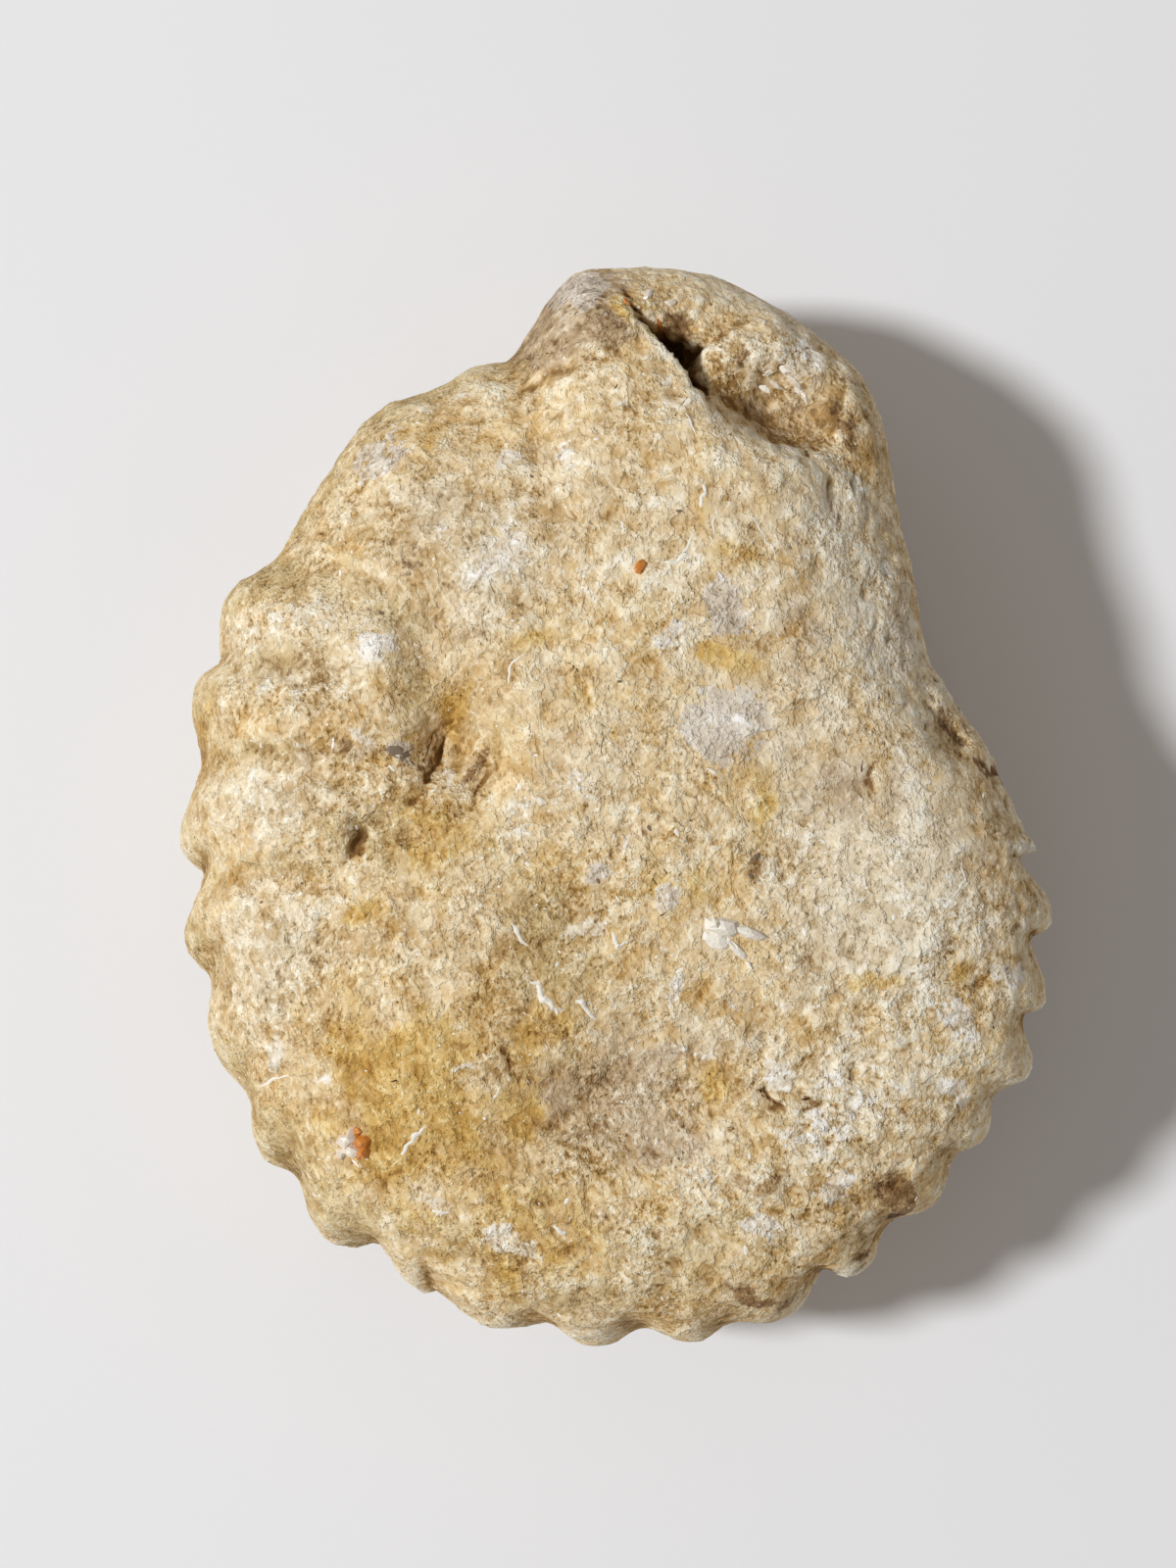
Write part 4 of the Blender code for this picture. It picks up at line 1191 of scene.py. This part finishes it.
def build_lines(collection, face, name, lines, material, proud):
    """Lines laid on the face: proud is how much of their half width stands out of it."""
    points, edges, widths = [], [], []
    for half_width, path in lines:
        corners = np.array(path, dtype=float)
        lengths = np.linalg.norm(np.diff(corners, axis=0), axis=1)
        stops = np.concatenate(((0.0,), np.cumsum(lengths)))
        places = np.arange(0.0, stops[-1], LINE_STEP)
        for index, stop in enumerate(places):
            x, y = (np.interp(stop, stops, corners[:, axis]) for axis in (0, 1))
            wobble = noise.noise_vector(Vector((x, y, 0.0)) / LINE_WOBBLE[0])
            wobble = wobble * LINE_WOBBLE[1] * half_width ** 0.5
            point, normal = face.at(x + wobble.x, y + wobble.y)
            if index:
                edges.append((len(points) - 1, len(points)))
            grain = noise.noise(Vector((x, y, LINE_GRAIN[1])) * LINE_GRAIN[0])
            share = LINE_UNEVENNESS[0] + LINE_UNEVENNESS[1] * grain
            widths.append(half_width * share * MM)
            points.append(point - normal * (1.0 - proud) * widths[-1])
    mesh = bpy.data.meshes.new(name)
    mesh.from_pydata(points, edges, [])
    store(mesh, "width", widths)
    piece = new_piece(collection, name, mesh)
    piece.data = run_tree(piece, line_tree(), {"Material": material})
    bpy.data.meshes.remove(mesh)
    piece.data.shade_smooth()
    return piece


CLUMP_SIZE = 9.0
CLUMPING = (0.45, 1.6)
CLUMP_RANGE = (0.05, 1.4)
LOW_HALF_EDGE = 2.0
LOW_HALF_BLEND = 12.0
UNDER_BITS = 0.25
# How thickly bits lie in a clump: (everywhere, more on the low half, more in the crust).
BIT_WEIGHTS = {"scraps": (0.25, 0.9, 0.6), "dust": (0.3, 0.5, 0.8)}
SLIVER_WEIGHT = (0.8, 0.3)
LEAST_CRUST = 0.1
CLUMP_SHIFT = 31.0
SHRUNK_BIT = (0.5, 0.45, 0.5)
GROWN_BIT = (1.5, 1.7, 1.3)
SIZE_SEED = 5
SHADE_SEED = 9
# Scattered bits: (name, weight, number a square metre, length, width, thickness, sunk,
# turn spread, seed).
SCATTERS = (
    ("shell_scraps", "scraps", 7000.0, 1.7, 0.44, 0.20, 0.05, 0.9, 11),
    ("shell_dust", "dust", 40000.0, 0.40, 0.32, 0.16, 0.02, 3.1, 23),
    ("dark_slivers", "slivers", 6000.0, 0.55, 0.16, 0.10, 0.03, 3.1, 37),
    ("crust_crumbs", "crumbs", 22000.0, 0.95, 0.7, 0.34, 0.15, 3.1, 51),
)


def scatter_tree():
    """Small bits strewn over the face and set into it."""
    tree = new_tree("strewn_bits", [
        ("Weight", "NodeSocketString", ""), ("Density", "NodeSocketFloat", 1000.0),
        ("Length", "NodeSocketFloat", MM), ("Width", "NodeSocketFloat", MM),
        ("Thickness", "NodeSocketFloat", MM), ("Sunk", "NodeSocketFloat", 0.0),
        ("Turn Spread", "NodeSocketFloat", 3.1), ("Seed", "NodeSocketInt", 1),
        ("Material", "NodeSocketMaterial", None)])
    w = Wiring(tree)
    given = w.add("NodeGroupInput").outputs
    density = w.math("MULTIPLY", w.field(given["Weight"]), given["Density"])
    strewn = w.add("GeometryNodeDistributePointsOnFaces", {
        "Mesh": given["Geometry"], "Density": density, "Seed": given["Seed"]},
        distribute_method="RANDOM")

    size = w.add("ShaderNodeCombineXYZ", {
        0: given["Width"], 1: given["Length"], 2: given["Thickness"]})
    drop = w.add("ShaderNodeCombineXYZ", {2: w.math("MULTIPLY", given["Sunk"], -1.0)})
    ball = w.add("GeometryNodeMeshIcoSphere", {"Radius": 0.5, "Subdivisions": 1})
    bit = w.add("GeometryNodeTransform", {"Geometry": ball, "Scale": size, "Translation": drop})

    upright = w.add("FunctionNodeAxesToRotation", {0: strewn.outputs["Normal"], 1: (0.0, 1.0, 0.0)},
                    primary_axis="Z", secondary_axis="Y")
    spin = w.add("FunctionNodeRandomValue", {
        2: w.math("MULTIPLY", given["Turn Spread"], -1.0), 3: given["Turn Spread"],
        8: given["Seed"]}).outputs[1]
    turn = w.add("FunctionNodeAxisAngleToRotation", {0: (0.0, 0.0, 1.0), 1: spin})
    turned = w.add("FunctionNodeRotateRotation", {0: upright, 1: turn}, rotation_space="LOCAL")
    scale = w.add("FunctionNodeRandomValue", {0: SHRUNK_BIT, 1: GROWN_BIT, 8: SIZE_SEED},
                  data_type="FLOAT_VECTOR").outputs[0]
    laid = w.add("GeometryNodeInstanceOnPoints", {
        "Points": strewn, "Instance": bit, "Rotation": turned, "Scale": scale})
    shade = w.add("FunctionNodeRandomValue", {2: 0.0, 3: 1.0, 8: SHADE_SEED}).outputs[1]
    shaded = w.add("GeometryNodeStoreNamedAttribute", {
        "Geometry": laid, "Name": "shade", "Value": shade}, data_type="FLOAT", domain="INSTANCE")
    w.finish(shaded, given["Material"])
    return tree


def weigh_scatters(stone):
    """How thickly each kind of bit lies at each point of the stone."""
    points = read_points(stone.data) / MM
    x, y = points[:, 0], points[:, 1]
    upper = upper_share(points, 0.5)
    clumps = CLUMPING[0] + CLUMPING[1] * clouds(points, CLUMP_SIZE, CLUMP_SHIFT)
    clumps = np.clip(clumps, *CLUMP_RANGE)
    crust = swells(x, y, CRUST_SPOTS) * upper + UNDER_BITS * (1.0 - upper)
    low_half = 1.0 / (1.0 + np.exp((y - LOW_HALF_EDGE) / LOW_HALF_BLEND))
    for name, (all_over, low_down, in_crust) in BIT_WEIGHTS.items():
        store(stone.data, name, clumps * (all_over + low_down * low_half + in_crust * crust))
    store(stone.data, "slivers", clumps * SLIVER_WEIGHT[0] + SLIVER_WEIGHT[1])
    store(stone.data, "crumbs", clumps * np.clip(crust - LEAST_CRUST, 0.0, 1.0))


def build_scatters(collection, stone, materials):
    """Every kind of strewn bit as its own piece."""
    weigh_scatters(stone)
    tree = scatter_tree()
    pieces = []
    for name, weight, density, length, width, thickness, sunk, spread, seed in SCATTERS:
        mesh = run_tree(stone, tree, {
            "Weight": weight, "Density": density, "Length": length * MM, "Width": width * MM,
            "Thickness": thickness * MM, "Sunk": sunk * MM, "Turn Spread": spread, "Seed": seed,
            "Material": materials[name]})
        mesh.name = name
        pieces.append(new_piece(collection, name, mesh))
    return pieces


def add_shard(shell, face, shard):
    """One broken plate lying in the face: ragged rim sunk in, bevelled edge, uneven top."""
    x, y, length, width, height, turn = shard
    cosine, sine = np.cos(np.radians(turn)), np.sin(np.radians(turn))

    def place(angle, share, rise):
        """Corner of the plate at a share of its size, raised above the face."""
        level = SHARD_RAG[0] * np.cos(angle) + SHARD_RAG[1] * np.sin(angle)
        ragged = noise.noise(Vector((x, y, level)))
        reach = 0.5 * share * (1.0 + SHARD_RAGGEDNESS * ragged)
        along, across = length * reach * np.cos(angle), width * reach * np.sin(angle)
        point, normal = face.at(
            x + along * cosine - across * sine, y + along * sine + across * cosine)
        uneven = noise.noise(Vector((x * SHARD_LUMPS[0], y * SHARD_LUMPS[0],
                                     SHARD_LUMPS[1] * angle)))
        return shell.verts.new(point + normal * rise * (1.0 + SHARD_UNEVENNESS * uneven) * MM)

    angles = [step * 2.0 * np.pi / SHARD_CORNERS for step in range(SHARD_CORNERS)]
    rim = [place(angle, 1.0, SHARD_RIM_SUNK) for angle in angles]
    edge = [place(angle, SHARD_EDGE[0], SHARD_EDGE[1] * height) for angle in angles]
    top = place(0.0, SHARD_TOP[0], SHARD_TOP[1] * height)
    bottom = place(0.0, 0.0, SHARD_BASE_SUNK)
    for step in range(SHARD_CORNERS):
        following = (step + 1) % SHARD_CORNERS
        shell.faces.new((rim[step], rim[following], edge[following], edge[step]))
        shell.faces.new((edge[step], edge[following], top))
        shell.faces.new((rim[following], rim[step], bottom))


def build_shards(collection, face, name, shards, material):
    """Broken plates on the face: (x, y, length, width, height, turn) each."""
    shell = bmesh.new()
    for shard in shards:
        add_shard(shell, face, shard)
    bmesh.ops.recalc_face_normals(shell, faces=shell.faces)
    mesh = bpy.data.meshes.new(name)
    shell.to_mesh(mesh)
    shell.free()
    mesh.materials.append(material)
    return new_piece(collection, name, mesh)


def flat_shards(chips):
    """Single small plates lying flat in the face."""
    return [(x, y, length, CHIP_PROPORTION * length, CHIP_HEIGHT, turn)
            for x, y, length, turn in chips]


SHARD_CORNERS = 7
# The edge and the top of a plate: (share of its size, share of its height).
SHARD_EDGE = (0.66, 0.7)
SHARD_TOP = (0.1, 1.2)
SHARD_RAG = (3.0, 5.0)
SHARD_LUMPS = (3.0, 4.0)
SHARD_RAGGEDNESS = 0.55
SHARD_UNEVENNESS = 0.8
SHARD_RIM_SUNK = -0.25
SHARD_BASE_SUNK = -0.6
CHIP_PROPORTION = 0.6
CHIP_HEIGHT = 0.12
# Broken plates and crystals: (x, y, length, width, height, turn).
SHELL_FRAGMENT = (
    (15, -19.9, 5.6, 3.4, 1.3, -14), (13.8, -19.3, 2.8, 2.4, 1.5, 50),
    (19, -20.7, 6, 1.9, 0.9, -14), (14.4, -22, 5.2, 2.4, 0.5, -26),
    (17, -22.9, 4.8, 1.6, 0.6, -50), (18.9, -25.2, 2.4, 0.7, 0.3, -55),
)
AMBER_CRYSTALS = (
    (-37, -50.9, 3.2, 2.6, 0.9, 20), (-36.9, -52.5, 3, 2.2, 0.9, 70),
    (-37.9, -49.5, 2.2, 1.6, 0.6, 50), (3.2, 32.4, 2.8, 2.2, 0.6, 70),
    (1.7, 73.2, 2, 0.9, 0.3, -50), (6.6, 70.4, 1.8, 0.7, 0.2, -50),
)
CLEAR_CRYSTALS = (
    (-39.4, -50.8, 3.6, 2.6, 0.9, 30), (-38.4, -52.3, 3.8, 2.4, 1, -20),
    (-40, -52.6, 2.4, 1.8, 0.6, 70), (-38.6, -50.2, 3, 2.2, 0.9, 80),
    (8.4, 73.6, 2.6, 1.6, 0.3, 10), (5, 74.8, 2.4, 1.5, 0.3, 60),
    (24.4, 61.4, 3.4, 0.9, 0.4, -30), (26.8, 61.8, 3.6, 1.1, 0.4, -45), (26, 64, 3, 1, 0.3, -5),
    (28.4, 59.6, 3, 0.9, 0.4, -60), (23, 63.2, 2.2, 0.8, 0.3, 10),
)


# What is grown in: name, tones, roughness, gloss, grain size and clearness of each.
GROWN_IN = {
    "shell": ("old_shell", SHELL, 0.55, 0.4, 0.6, 0.0),
    "crack": ("crack_dirt", CRACK, 0.95, 0.1, 0.5, 0.0),
    "grit": ("dark_grit", GRIT, 0.7, 0.3, 0.5, 0.0),
    "amber": ("amber_crystal", AMBER, 0.2, 0.6, 0.9, 0.15),
    "quartz": ("clear_crystal", QUARTZ, 0.18, 0.7, 0.9, 0.15),
    "crumb": ("crust_crumb", LIMESTONE, 0.9, 0.25, 0.7, 0.0),
}
SHELL_PROUD = 0.45
CRACK_PROUD = 0.25


def build_grown_in(collection, stone):
    """Everything grown into the rock, as pieces of their own."""
    face = Surface(stone)
    stuff = {kind: grown_in(*look) for kind, look in GROWN_IN.items()}
    shell, crack = stuff["shell"], stuff["crack"]
    shards = (
        ("shell_fragment", SHELL_FRAGMENT, shell), ("shell_chips", flat_shards(WHITE_CHIPS), shell),
        ("dark_chips", flat_shards(DARK_CHIPS), stuff["grit"]),
        ("amber_crystals", AMBER_CRYSTALS, stuff["amber"]),
        ("clear_crystals", CLEAR_CRYSTALS, stuff["quartz"]),
    )
    pieces = [
        build_lines(collection, face, "shell_lines", SHELL_LINES, shell, SHELL_PROUD),
        build_lines(collection, face, "hair_cracks", CRACK_LINES, crack, CRACK_PROUD),
    ]
    pieces += [build_shards(collection, face, *shard) for shard in shards]
    kinds = {"shell_scraps": shell, "shell_dust": shell, "dark_slivers": crack,
             "crust_crumbs": stuff["crumb"]}
    return pieces + build_scatters(collection, stone, kinds)


# ---------------------------------------------------------------- room, light and camera
VIEW_TARGET = Vector((-3.4, 2.9, 28.0)) * MM
VIEW_DISTANCE = 472.5 * MM
VIEW_LENS = 70.0
VIEW_ELEVATION = 86.0
VIEW_TURN = -115.0
NEAREST_SEEN = 0.01
LIGHT_ELEVATION = 49.0
LIGHT_TURN = 180.0
LIGHT_DISTANCE = 3.0
LIGHT_SIZE = 0.40
LIGHT_POWER = 79.0
LIGHT_TINT = (0.95, 0.97, 1.0)
SKY_TINT = (1.0, 0.93, 0.87, 1.0)
SKY_STRENGTH = 0.28
FLOOR_SIZE = 4.0


def aim(thing, place, target):
    """Place a camera or a light so that it looks at the target, with +Y towards the top."""
    forward = (target - place).normalized()
    right = forward.cross(Vector((0.0, 1.0, 0.0))).normalized()
    above = right.cross(forward)
    turn = Matrix((right, above, -forward)).transposed()
    thing.matrix_world = Matrix.Translation(place) @ turn.to_4x4()


def round_the_target(elevation, turn, distance):
    """Place at a distance from the stone: turn is the direction from +X, anticlockwise."""
    slope, heading = np.radians(elevation), np.radians(turn)
    return VIEW_TARGET + distance * Vector((
        np.cos(slope) * np.cos(heading), np.cos(slope) * np.sin(heading), np.sin(slope)))


def build_room():
    """Pale floor, one soft key light, an even pale sky and the camera."""
    scene = bpy.context.scene
    bpy.ops.mesh.primitive_plane_add(size=FLOOR_SIZE)
    floor = bpy.context.object
    floor.name = "pale_floor"
    floor.data.materials.append(floor_material())

    key = bpy.data.lights.new("key_light", "AREA")
    key.shape = "DISK"
    key.size = LIGHT_SIZE
    key.energy = LIGHT_POWER
    key.color = LIGHT_TINT
    lamp = bpy.data.objects.new("key_light", key)
    scene.collection.objects.link(lamp)
    aim(lamp, round_the_target(LIGHT_ELEVATION, LIGHT_TURN, LIGHT_DISTANCE), VIEW_TARGET)

    world = bpy.data.worlds.new("pale_sky")
    scene.world = world
    world.use_nodes = True
    sky = world.node_tree.nodes["Background"]
    sky.inputs["Color"].default_value = SKY_TINT
    sky.inputs["Strength"].default_value = SKY_STRENGTH

    lens = bpy.data.cameras.new("camera")
    lens.lens = VIEW_LENS
    lens.clip_start = NEAREST_SEEN
    camera = bpy.data.objects.new("camera", lens)
    scene.collection.objects.link(camera)
    aim(camera, round_the_target(VIEW_ELEVATION, VIEW_TURN, VIEW_DISTANCE), VIEW_TARGET)
    scene.camera = camera
    scene.view_settings.view_transform = "Standard"


def main():
    """Build every piece around the frame, then the room."""
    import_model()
    collection = bpy.data.collections.new("ammonite")
    bpy.context.scene.collection.children.link(collection)
    stone = build_stone(collection)
    for piece in [stone] + build_grown_in(collection, stone):
        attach(piece, "root")
    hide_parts("ammonite_fossil")
    build_room()


main()
